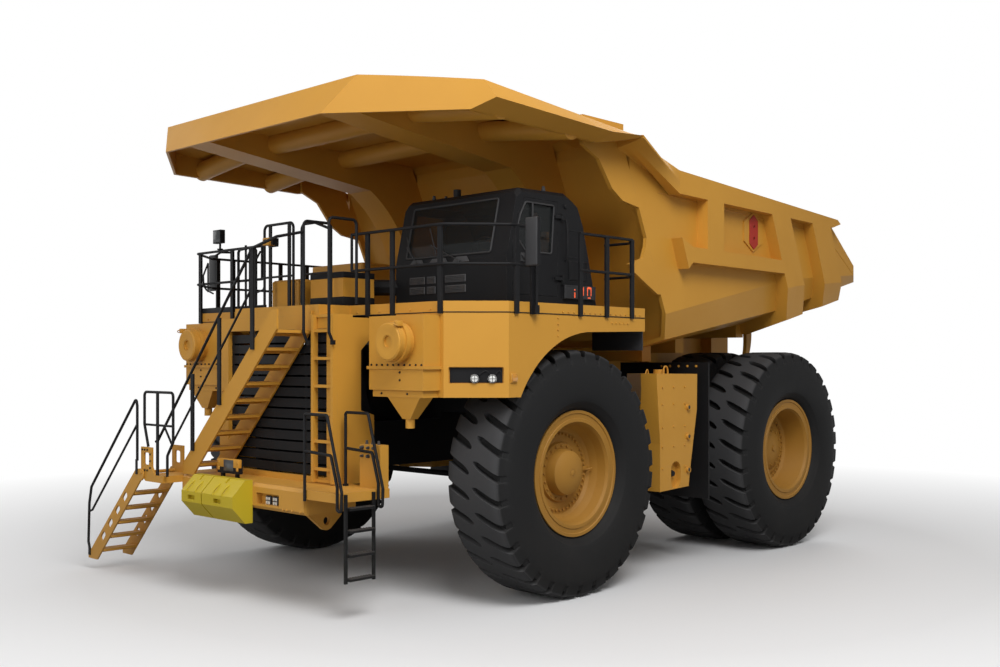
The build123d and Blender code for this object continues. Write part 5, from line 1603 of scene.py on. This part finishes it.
    def seat(self, bench: Bench) -> None:
        """Make the driver's padded seat: crowned cushion and back with sewn channels."""
        parts = []
        for low, high, front in (
            ((1.91, aft(-0.345), self.base + 0.335), (2.44, aft(0.02), self.base + 0.475), False),
            ((1.93, aft(0.0), self.base + 0.485), (2.42, aft(0.125), self.base + 1.145), True),
        ):
            pad = bench.block(low, high, 0.035, 3)
            with editing(pad):
                bpy.ops.mesh.select_all(action="SELECT")
                bpy.ops.mesh.subdivide(number_cuts=3)
            middle = (Vector(low) + Vector(high)) / 2
            half = (Vector(high) - Vector(low)) / 2
            for vertex in pad.data.vertices:
                share = [(vertex.co[axis] - middle[axis]) / half[axis] for axis in range(3)]
                across, along = (share[0], share[2]) if front else (share[0], share[1])
                crown = 0.012 * (1 - across * across) * (1 - along * along)
                channel = 0.006 * max(0.0, 1.0 - abs(abs(across) - 0.55) / 0.06)
                if front:
                    vertex.co.y += (channel - crown) * (1.0 if share[1] < 0 else -0.4) * 0.8
                    vertex.co.z = min(vertex.co.z, high[2])
                else:
                    vertex.co.z += (crown - channel) * (1.0 if share[2] > 0 else 0.0) * 0.35
                pinch = 1.0 - 0.03 * abs(share[2] if front else share[1]) ** 4
                vertex.co.x = middle.x + (vertex.co.x - middle.x) * pinch
            with editing(pad):
                bpy.ops.mesh.select_all(action="SELECT")
                bpy.ops.mesh.normals_make_consistent(inside=False)
            parts.append(pad)
        cushion = bench.settle(parts, "driver_seat_pads", "chassis", "seat_cloth", smooth=60.0)
        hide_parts("driver_seat")

    def build(self, bench: Bench) -> None:
        """Make all of the cab's pieces."""
        self.windscreen(bench)
        self.vents(bench)
        self.door_parts(bench)
        self.side_parts(bench)
        self.display(bench)
        self.roof(bench)
        self.inside(bench)
        self.seat(bench)


# ------------------------------------------------------------------ decks
@dataclass
class DeckTrim:
    """Grip mats, duct, camera, lamps and mirrors on the decks.

    Attributes:
        mat_thickness: Thickness of a grip mat.
        duct_y: Line of the air duct.
        duct_height: Height of its middle above the deck.
        rail_y: Plane of the front rail.
    """

    mat_thickness: float = 0.005
    duct_y: float = aft(-1.55)
    duct_height: float = 0.30
    rail_y: float = aft(-2.262)

    def mats(self, bench: Bench) -> None:
        """Lay the black grip mats on the walkways."""
        rows = (
            ("centre", (-0.97, aft(-2.32)), (0.86, aft(-1.30))),
            ("right_front", (-2.80, aft(-2.10)), (-1.06, aft(-1.55))),
            ("right_rear", (-3.38, aft(-1.50)), (-1.06, aft(1.25))),
            ("left_front", (1.06, aft(-2.10)), (2.80, aft(-1.30))),
            ("left_side", (3.16, aft(-1.30)), (3.40, aft(1.25))),
        )
        for name, low, high in rows:
            mat = bench.block((*low, DECK_Z), (*high, DECK_Z + self.mat_thickness), 0.002, 1)
            bench.settle(mat, f"grip_mat_{name}", "chassis", "black_paint", bench.palette.mat)

    def duct(self, bench: Bench) -> None:
        """Make the black air duct with its clamp rings beside the cab."""
        z = DECK_Z + self.duct_height
        run = bench.pipe(
            [
                (-0.35, self.duct_y, z), (0.20, self.duct_y, z), (0.60, aft(-1.50), z),
                (0.90, aft(-1.10), z),
            ],
            0.115,
        )
        rings = [
            bench.turned((x, self.duct_y, z), Axis.LEFT.way, 0.128, 0.030, ((0.006, 0.004),), 32)
            for x in (-0.30, 0.05)
        ]
        feet = [
            bench.block((x, aft(-1.60), DECK_Z), (x + 0.05, aft(-1.50), z - 0.08), 0.008)
            for x in (-0.22, 0.22)
        ]
        bench.settle([run, *feet], "air_duct", "chassis", "black_paint")
        bench.settle(rings, "duct_clamps", "chassis", "bright_rod")

    def gate_camera(self, bench: Bench) -> None:
        """Make the small yellow camera's case and eye at the gate."""
        body = bench.block(
            (-0.66, aft(-2.470), DECK_Z + 0.925), (-0.50, aft(-2.345), DECK_Z + 1.035), 0.010
        )
        eye = bench.turned(
            (-0.58, aft(-2.470), DECK_Z + 0.98), Axis.NOSE.way, 0.030, 0.020,
            ((0.006, 0.0), (0.0, -0.010)), 24,
        )
        bench.settle(body, "gate_camera_case", "chassis", "yellow_paint")
        bench.settle(eye, "gate_camera_eye", "chassis", "black_paint", bench.palette.plastic)

    def rail_fittings(self, bench: Bench) -> None:
        """Add the gate hoops, hose rack and toe board at the right front rail."""
        hoops = (
            (
                0.022,
                (
                    (-1.60, 4.03), (-1.60, 4.93), (-1.57, 4.97), (-1.19, 4.99), (-1.13, 4.93),
                    (-1.13, 4.10),
                ),
            ),
            (
                0.016,
                (
                    (-1.09, 4.30), (-0.94, 4.33), (-0.905, 4.38), (-0.905, 4.82), (-0.94, 4.87),
                    (-1.02, 4.905), (-1.12, 4.80),
                ),
            ),
            (0.018, ((-1.40, 4.03), (-1.40, 5.03))),
            (0.014, ((-2.46, 4.82), (-2.60, 4.63), (-2.585, 4.46), (-2.50, 4.39), (-2.31, 4.33))),
            (0.014, ((-2.46, 4.82), (-2.46, 4.36))),
        )
        pipes = [
            bench.pipe([(x, self.rail_y, z) for x, z in route], radius, smooth=False)
            for radius, route in hoops
        ]
        toe = bench.block(
            (-2.80, aft(-2.155), DECK_Z - 0.002), (-1.02, aft(-2.145), DECK_Z + 0.085), 0.003
        )
        bench.settle([*pipes, toe], "gate_hoops", "chassis", "black_paint")

    def hood_bands(self, bench: Bench) -> None:
        """Put the dark cap and skirt on the yellow hood box behind the gates."""
        bands = [
            bench.block(
                (0.112, aft(-2.188), DECK_Z + low), (0.868, aft(-1.612), DECK_Z + high), 0.012
            )
            for low, high in ((0.395, 0.482), (0.0, 0.135))
        ]
        bench.settle(bands, "hood_bands", "chassis", "black_paint")

    def flood_lamp(self, bench: Bench) -> None:
        """Make the flood lamp's glass on the right-hand rail."""
        y = aft(-2.254)
        z = DECK_Z + 0.970
        lens = bench.block((-2.318, y - 0.012, z + 0.135), (-2.122, y + 0.004, z + 0.315), 0.010)
        bench.settle(lens, "flood_lens", "chassis", "glass", bench.palette.screen)

    def mirrors(self, bench: Bench) -> None:
        """Make the mirror heads and their glasses."""
        for side, sign in SIDES:
            shell = bench.block(
                (sign * 3.585, aft(-1.425), DECK_Z + 0.44),
                (sign * 3.795, aft(-1.362), DECK_Z + 1.06), 0.022, 3,
            )
            glass = bench.block(
                (sign * 3.602, aft(-1.363), DECK_Z + 0.47),
                (sign * 3.778, aft(-1.358), DECK_Z + 1.03), 0.002, 1,
            )
            bench.settle(
                shell, f"mirror_shell_{side}", "chassis", "black_paint", bench.palette.plastic
            )
            bench.settle(glass, f"mirror_glass_{side}", "chassis", "bright_rod")

    def build(self, bench: Bench) -> None:
        """Make all deck pieces."""
        self.mats(bench)
        self.duct(bench)
        self.gate_camera(bench)
        self.rail_fittings(bench)
        self.hood_bands(bench)
        self.flood_lamp(bench)
        self.mirrors(bench)


# ------------------------------------------------------------------ access
@dataclass
class AccessTrim:
    """Stair, ladder, bumper-top and service details.

    Attributes:
        stair_rise: Rise and going of the front stairs.
        boarding_rise: Rise and going of the boarding stair.
        step_edges: Back and front of each nose strip on a boarding step.
    """

    stair_rise: float = 0.235
    boarding_rise: float = 0.240
    step_edges: tuple[tuple[float, float], ...] = ((-0.198, -0.170), (-0.030, -0.002))

    def stair_grips(self, bench: Bench) -> None:
        """Put a nose strip on each step of the front stairs."""
        strips = []
        for step in range(9):
            x = -1.250 + step * self.stair_rise
            z = 1.800 + step * self.stair_rise
            strip = bench.block(
                (x + 0.004, aft(-3.262), z - 0.001), (x + 0.050, aft(-2.752), z + 0.006), 0.002, 1
            )
            strips.append(strip)
        bench.settle(strips, "stair_nosings", "chassis", "yellow_paint")

    def boarding_treads(self, bench: Bench) -> None:
        """Put raised nose strips on the boarding stair's treads."""
        strips = []
        for step in range(5):
            x = -2.240 - step * self.boarding_rise
            z = 1.310 - step * self.boarding_rise
            for back, front in self.step_edges:
                low = (x + back, aft(-3.620), z - 0.001)
                strips.append(bench.block(low, (x + front, aft(-3.080), z + 0.005), 0.002, 1))
        bench.settle(strips, "boarding_nosings", "boarding_stair", "yellow_paint")

    def landing_bolts(self, bench: Bench) -> None:
        """Seat the bolt rows on the landing's brackets."""
        starts = [
            (-2.04 + 0.07 * column, aft(-4.2), 1.96 - 0.30 * row)
            for row in range(2)
            for column in range(3)
        ]
        starts += [(-1.82, aft(-4.2), z) for z in (1.90, 1.80, 1.70)]
        bench.bolt_rows(
            "landing_bolts", "stair_landing", "chassis", "black_paint", Axis.TAIL.way, starts, 0.012
        )

    def control_box(self, bench: Bench) -> None:
        """Make the ground control box on the bumper with its grey face and lugs."""
        y = aft(-3.150)
        case = bench.block((-0.775, y - 0.006, 1.765), (-0.235, y + 0.05, 1.885), 0.008)
        face = bench.block((-0.600, y - 0.014, 1.715), (-0.360, y - 0.004, 1.872), 0.006)
        lugs = [
            bench.block((x, y - 0.012, z), (x + 0.05, y, z + 0.05), 0.006)
            for x in (-0.76, -0.29)
            for z in (1.72, 1.82)
        ]
        bench.settle([case, *lugs], "control_box_lugs", "chassis", "yellow_paint")
        bench.settle(face, "control_box_face", "chassis", "black_paint", bench.palette.screen)

    def service_couplings(self, bench: Bench) -> None:
        """Make the cluster of quick couplings on the service box."""
        parts = []
        for row in range(2):
            for column in range(3):
                x = 1.80 + column * 0.12
                z = 2.03 + row * 0.11
                seat = bench.touch("service_platform", (x, aft(-3.6), z), Axis.TAIL.way)
                if seat is None:
                    continue
                size = 0.020 + 0.005 * ((row + column) % 2)
                steps = ((0.005, 0.0), (0.0, 0.012), (-0.006, 0.0), (0.0, 0.012), (0.006, 0.006))
                parts.append(bench.turned(tuple(seat), Axis.NOSE.way, size, 0.015, steps, 20))
        for x in (1.80, 1.92, 2.04):
            top = bench.touch("service_platform", (x, aft(-2.53), 2.6), Axis.DOWN.way)
            if top is not None:
                parts.append(
                    bench.turned(
                        tuple(top), Axis.UP.way, 0.022, 0.02,
                        ((0.005, 0.0), (0.0, 0.02), (-0.006, 0.0), (0.0, 0.01)), 18,
                    )
                )
        if parts:
            bench.settle(parts, "service_couplings", "chassis", "black_paint", bench.palette.grey)

    def chock_handles(self, bench: Bench) -> None:
        """Put two bent grab bars on each wheel chock."""
        bars = []
        for middle in (-0.700, -0.045):
            for side in (-1, 1):
                x = middle + side * 0.11
                bars.append(
                    bench.pipe(
                        [
                            (x, aft(-3.60), 1.425), (x, aft(-3.64), 1.455), (x, aft(-3.54), 1.565),
                            (x, aft(-3.47), 1.590),
                        ],
                        0.010,
                    )
                )
        bench.settle(bars, "chock_handles", "chassis", "chock_paint")

    def ladder_grips(self, bench: Bench) -> None:
        """Put raised ribs on the rungs of the hanging ladder."""
        ribs = []
        for z in (0.520, 0.820, 1.120, 1.400):
            for step in range(9):
                y = aft(-3.13 + step * 0.044)
                ribs.append(
                    bench.block((2.126, y, z + 0.028), (2.244, y + 0.014, z + 0.036), 0.002, 1)
                )
        bench.settle(ribs, "egress_rung_ribs", "chassis", "black_paint", bench.palette.grey)

    def build(self, bench: Bench) -> None:
        """Make all access pieces."""
        self.stair_grips(bench)
        self.boarding_treads(bench)
        self.landing_bolts(bench)
        self.control_box(bench)
        self.service_couplings(bench)
        self.chock_handles(bench)
        self.ladder_grips(bench)


# ------------------------------------------------------------------ tanks and body
@dataclass
class TankTrim:
    """Bolts, ports and eyes of the tanks and mud guards.

    Attributes:
        port_y: Line of the sight ports.
        port_heights: Their heights.
    """

    port_y: float = aft(2.800)
    port_heights: tuple[float, ...] = (2.540, 2.080, 1.560)

    def build(self, bench: Bench) -> None:
        """Make all tank pieces."""
        starts = [
            (OUTSIDE_X, aft(y), z)
            for z in (2.86, 2.60, 2.25, 1.95, 1.62)
            for y in (2.12, 2.42, 2.72)
        ]
        bench.bolt_rows(
            "hydraulic_tank_bolts", "hydraulic_tank", "chassis", "yellow_paint", Axis.RIGHT.way,
            starts, 0.014,
        )
        ports = []
        for z in self.port_heights:
            ports.append(
                bench.turned(
                    (3.230, self.port_y, z), Axis.LEFT.way, 0.046, 0.006,
                    ((0.012, 0.0), (0.0, -0.010), (0.008, 0.006)), 28,
                )
            )
        bench.settle(ports, "tank_sight_ports", "chassis", "yellow_paint")
        glass = [
            bench.turned(
                (3.232, self.port_y, z), Axis.LEFT.way, 0.024, 0.003, ((0.006, 0.002),), 20
            )
            for z in self.port_heights
        ]
        bench.settle(glass, "tank_sight_glasses", "chassis", "black_paint", bench.palette.plastic)
        drain = bench.turned(
            (3.112, aft(2.460), 1.520), Axis.LEFT.way, 0.050, 0.030,
            ((0.010, 0.0), (0.0, 0.030), (0.012, 0.0)), 24,
        )
        bench.settle(drain, "tank_drain", "chassis", "black_paint")
        eye = bench.pipe(
            [
                (2.95, aft(2.62), 3.055), (2.95, aft(2.62), 3.15), (2.95, aft(2.56), 3.19),
                (2.95, aft(2.50), 3.15), (2.95, aft(2.50), 3.055),
            ],
            0.014,
        )
        rear_eye = bench.pipe(
            [
                (2.95, aft(2.10), 3.060), (2.95, aft(2.10), 3.12), (2.95, aft(2.06), 3.14),
                (2.95, aft(2.03), 3.065),
            ],
            0.010,
        )
        bench.settle([eye, rear_eye], "tank_lifting_eyes", "chassis", "yellow_paint")
        for side, sign in SIDES:
            starts = [(sign * (2.35 + 0.17 * step), aft(2.9), 3.18) for step in range(5)]
            bench.bolt_rows(
                f"mud_guard_bolts_{side}", "tank_mounts", "chassis", "yellow_paint", Axis.TAIL.way,
                starts, 0.016,
            )
            flap = bench.block(
                (sign * 2.42, aft(1.385), 3.42), (sign * 3.36, aft(1.405), 3.82), 0.004
            )
            bench.settle(
                flap, f"front_mud_flap_{side}", "chassis", "black_paint", bench.palette.plastic
            )
            straps = [
                bench.block(
                    (sign * x, aft(1.325), 3.74), (sign * (x + 0.06), aft(1.412), 3.84), 0.006
                )
                for x in (2.55, 3.18)
            ]
            bench.settle(straps, f"mud_flap_straps_{side}", "chassis", "yellow_paint")


@dataclass
class BodyTrim:
    """Red plates, weld seams and joint plates of the dump body.

    Attributes:
        plate_y: Middle of a red plate.
        plate_z: Its height.
        plate_thick: Its thickness.
    """

    plate_y: float = aft(4.62)
    plate_z: float = 5.43
    plate_thick: float = 0.016

    def side_plate(self, bench: Bench, side: str, sign: float) -> None:
        """Put the red six-sided plate with its two holes on a body side."""
        reach, way = (sign * OUTSIDE_X, self.plate_y, self.plate_z), Axis.LEFT.way * -sign
        seat = bench.touch(f"body_ribs_{side}", reach, way) or bench.touch("body_shell", reach, way)
        if seat is None:
            return
        x = seat.x
        half = (
            (-0.13, -0.20), (0.0, -0.29), (0.13, -0.20), (0.13, 0.20), (0.0, 0.29), (-0.13, 0.20)
        )
        outline = [(x, self.plate_y + y, self.plate_z + z) for y, z in half]
        plate = bench.plate(outline, (sign * self.plate_thick, 0, 0), 0.003)
        rings = []
        for z in (5.33, 5.53):
            rings.append(
                bench.turned(
                    (x + sign * self.plate_thick, self.plate_y, z), Axis.LEFT.way * sign, 0.030,
                    0.004, ((0.010, 0.0), (0.0, -0.012)), 24,
                )
            )
        bench.settle(
            [plate, *rings], f"red_plate_{side}", "dump_body", "yellow_paint", bench.palette.red
        )

    def seams(self, bench: Bench, side: str, sign: float) -> None:
        """Run weld beads along the side sheet, below its rail and up to the tail."""
        beads = []
        for start, end in (((1.9, 5.80), (7.2, 5.60)), ((7.3, 5.55), (8.3, 4.95))):
            line = []
            for step in range(9):
                share = step / 8
                y = start[0] + (end[0] - start[0]) * share
                z = start[1] + (end[1] - start[1]) * share
                seat = bench.touch(
                    "body_shell", (sign * OUTSIDE_X, aft(y), z), Axis.LEFT.way * -sign
                )
                if seat is not None:
                    line.append(tuple(seat))
            if len(line) > 2:
                beads.append(bench.pipe(line, 0.008))
        if beads:
            bench.settle(beads, f"weld_beads_{side}", "dump_body", "yellow_paint")

    def wall_head(self, bench: Bench) -> None:
        """Close the joint between the front wall's head and the canopy's roof."""
        rows = [
            ((-2.27, 1.07, 6.625), (2.27, 1.07, 6.625), (2.27, 1.205, 6.505), (-2.27, 1.205, 6.505))
        ]
        for sign in (1, -1):
            rows.append(
                (
                    (sign * 2.22, 0.85, 6.628), (sign * 3.27, 0.85, 6.486),
                    (sign * 3.27, 1.205, 6.470), (sign * 2.22, 1.205, 6.505),
                )
            )
        plates = [
            bench.plate([(x, aft(y), z) for x, y, z in row], (0, 0, 0.028), 0.002) for row in rows
        ]
        bench.settle(plates, "wall_head_plates", "dump_body", "yellow_paint")

    def build(self, bench: Bench) -> None:
        """Make all body pieces."""
        self.wall_head(bench)
        for side, sign in SIDES:
            self.side_plate(bench, side, sign)
            self.seams(bench, side, sign)


# ------------------------------------------------------------------ scene
@dataclass
class Studio:
    """Floor, lights and camera.

    Attributes:
        lens: Focal length in millimetres.
        shift_y: Upward shift of the lens.
        azimuth: Turn of the camera in degrees.
        eye: Where it stands.
        floor_tone: Floor colour that the camera sees.
        bounce_tone: Floor colour that lights the truck from below.
        floor_fade: Distances between which the floor turns plain white.
        sky_level: Strength of the even light.
        aim: Where the lamps point.
        lamp_rows: Name, place, size and power of each lamp.
    """

    lens: float = 39.893
    shift_y: float = 0.02715
    azimuth: float = 43.5485
    eye: tuple[float, float, float] = (13.054, -14.616, 3.270)
    floor_tone: Colour = (0.80, 0.80, 0.805)
    bounce_tone: Colour = (0.34, 0.34, 0.34)
    floor_fade: tuple[float, float] = (7.5, 18.0)
    sky_level: float = 0.34
    aim: Spot = (0.0, 0.0, 2.5)
    lamp_rows: tuple[tuple[str, Spot, float, float], ...] = (
        ("key", (13.0, -9.0, 16.0), 9.0, 2600.0),
        ("front", (4.0, -19.0, 8.0), 9.0, 700.0),
        ("right", (-16.0, -7.0, 10.0), 10.0, 420.0),
        ("back", (-4.0, 16.0, 15.0), 10.0, 800.0),
    )

    def build(self) -> None:
        """Make the whole studio."""
        self.floor()
        self.lamps()
        self.sky()
        self.camera()

    def floor(self) -> None:
        """Make the pale floor, which fades to plain white far behind the truck."""
        bpy.ops.mesh.primitive_plane_add(size=600, location=(0, 0, 0))
        floor = bpy.context.object
        floor.name = "studio_floor"
        material = bpy.data.materials.new("floor_white")
        material.use_nodes = True
        tree = NodeTree(material.node_tree)
        shader = tree.tree.nodes["Principled BSDF"]
        place = tree.add("TexCoord")
        spread = tree.add("VectorMath", operation="LENGTH")
        tree.tree.links.new(place.outputs["Object"], spread.inputs[0])
        far = tree.math("SUBTRACT", spread.outputs["Value"], self.floor_fade[0])
        far = tree.math("DIVIDE", far, self.floor_fade[1] - self.floor_fade[0], clamp=True)
        far = tree.math("POWER", far, 0.8)
        path = tree.add("LightPath")
        seen = tree.math("MAXIMUM", path.outputs["Is Camera Ray"], path.outputs["Is Glossy Ray"])
        seen = tree.math("MAXIMUM", seen, path.outputs["Is Transmission Ray"])
        far = tree.math("MULTIPLY", far, seen)
        tone = tree.blend(path.outputs["Is Camera Ray"], self.bounce_tone, self.floor_tone)
        tree.feed(shader, Base_Color=tone, Roughness=0.7)
        glow = tree.add("Emission")
        tree.feed(glow, Color=(1.0, 1.0, 1.0, 1.0), Strength=1.0)
        mix = tree.add("MixShader")
        tree.tree.links.new(far, mix.inputs[0])
        tree.tree.links.new(shader.outputs[0], mix.inputs[1])
        tree.tree.links.new(glow.outputs[0], mix.inputs[2])
        tree.tree.links.new(mix.outputs[0], tree.tree.nodes["Material Output"].inputs["Surface"])
        floor.data.materials.append(material)

    def lamps(self) -> None:
        """Hang the soft lamps."""
        for name, place, size, power in self.lamp_rows:
            lamp = bpy.data.lights.new(name, "AREA")
            lamp.size = size
            lamp.energy = power
            holder = bpy.data.objects.new(name, lamp)
            holder.location = place
            holder.rotation_euler = (
                Vector(self.aim) - Vector(place)
            ).to_track_quat("-Z", "Y").to_euler()
            bpy.context.collection.objects.link(holder)

    def sky(self) -> None:
        """Light evenly from all round, white where the camera looks past the floor."""
        world = bpy.data.worlds.new("studio_sky")
        bpy.context.scene.world = world
        world.use_nodes = True
        tree = NodeTree(world.node_tree)
        shade = tree.tree.nodes["Background"]
        path = tree.add("LightPath")
        seen = tree.math(
            "MAXIMUM", path.outputs["Is Camera Ray"], path.outputs["Is Transmission Ray"]
        )
        strength = tree.math("MULTIPLY", seen, 1.0 - self.sky_level)
        strength = tree.math("ADD", strength, self.sky_level)
        tree.feed(shade, Color=(1.0, 1.0, 1.0, 1.0), Strength=strength)

    def camera(self) -> None:
        """Stand the camera where the truck fills the frame as wanted."""
        lens = bpy.data.cameras.new("camera")
        lens.sensor_width = 36.0
        lens.lens = self.lens
        lens.shift_y = self.shift_y
        lens.clip_end = 500
        holder = bpy.data.objects.new("camera", lens)
        holder.location = self.eye
        holder.rotation_euler = (math.radians(90), 0, math.radians(self.azimuth))
        bpy.context.collection.objects.link(holder)
        bpy.context.scene.camera = holder
        bpy.context.scene.view_settings.view_transform = "Standard"


def finish_for(node: str, slot: str, palette: Palette) -> bpy.types.Material:
    """Return a node's finish: its slot's, except for the rims, which take a darker yellow as
    painted shade in their deep dishes, and the main frame, which takes black as painted shade under
    the fenders and behind the guard.

    Args:
        node: The node's name.
        slot: Its slot in the record.
        palette: All materials.

    Returns:
        The material.
    """
    # Rims take the darker wheel yellow: painted shade of their deep dishes.
    if node.startswith(("rim_", "rims_")):
        return palette.wheel
    # The main frame takes black instead of its yellow slot: painted shade under the fenders and
    # behind the guard.
    if node == "main_frame":
        return palette.by_slot["black_paint"]
    return palette.by_slot[slot]


def dress_nodes(frame: dict, palette: Palette) -> None:
    """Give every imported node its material.

    Args:
        frame: The loaded frame.
        palette: All materials.
    """
    for row in frame["record"]["subparts"]:
        node = frame["nodes"][row["node"]]
        node.data.materials.clear()
        node.data.materials.append(finish_for(row["node"], row["material_slot"], palette))
        log.info("dressed %s", row["node"])


def main() -> None:
    """Build everything in order."""
    logging.basicConfig(level=logging.INFO, format="%(name)s: %(message)s")
    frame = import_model()
    bpy.ops.object.select_all(action="DESELECT")
    Studio().build()
    palette = Palette()
    dress_nodes(frame, palette)
    bench = Bench(frame, palette)
    WheelSet().build(bench)
    FrontEnd().build(bench)
    CabTrim().build(bench)
    DeckTrim().build(bench)
    AccessTrim().build(bench)
    TankTrim().build(bench)
    BodyTrim().build(bench)
    log.info("%d pieces made", bench.made)


if __name__ == "__main__":
    main()
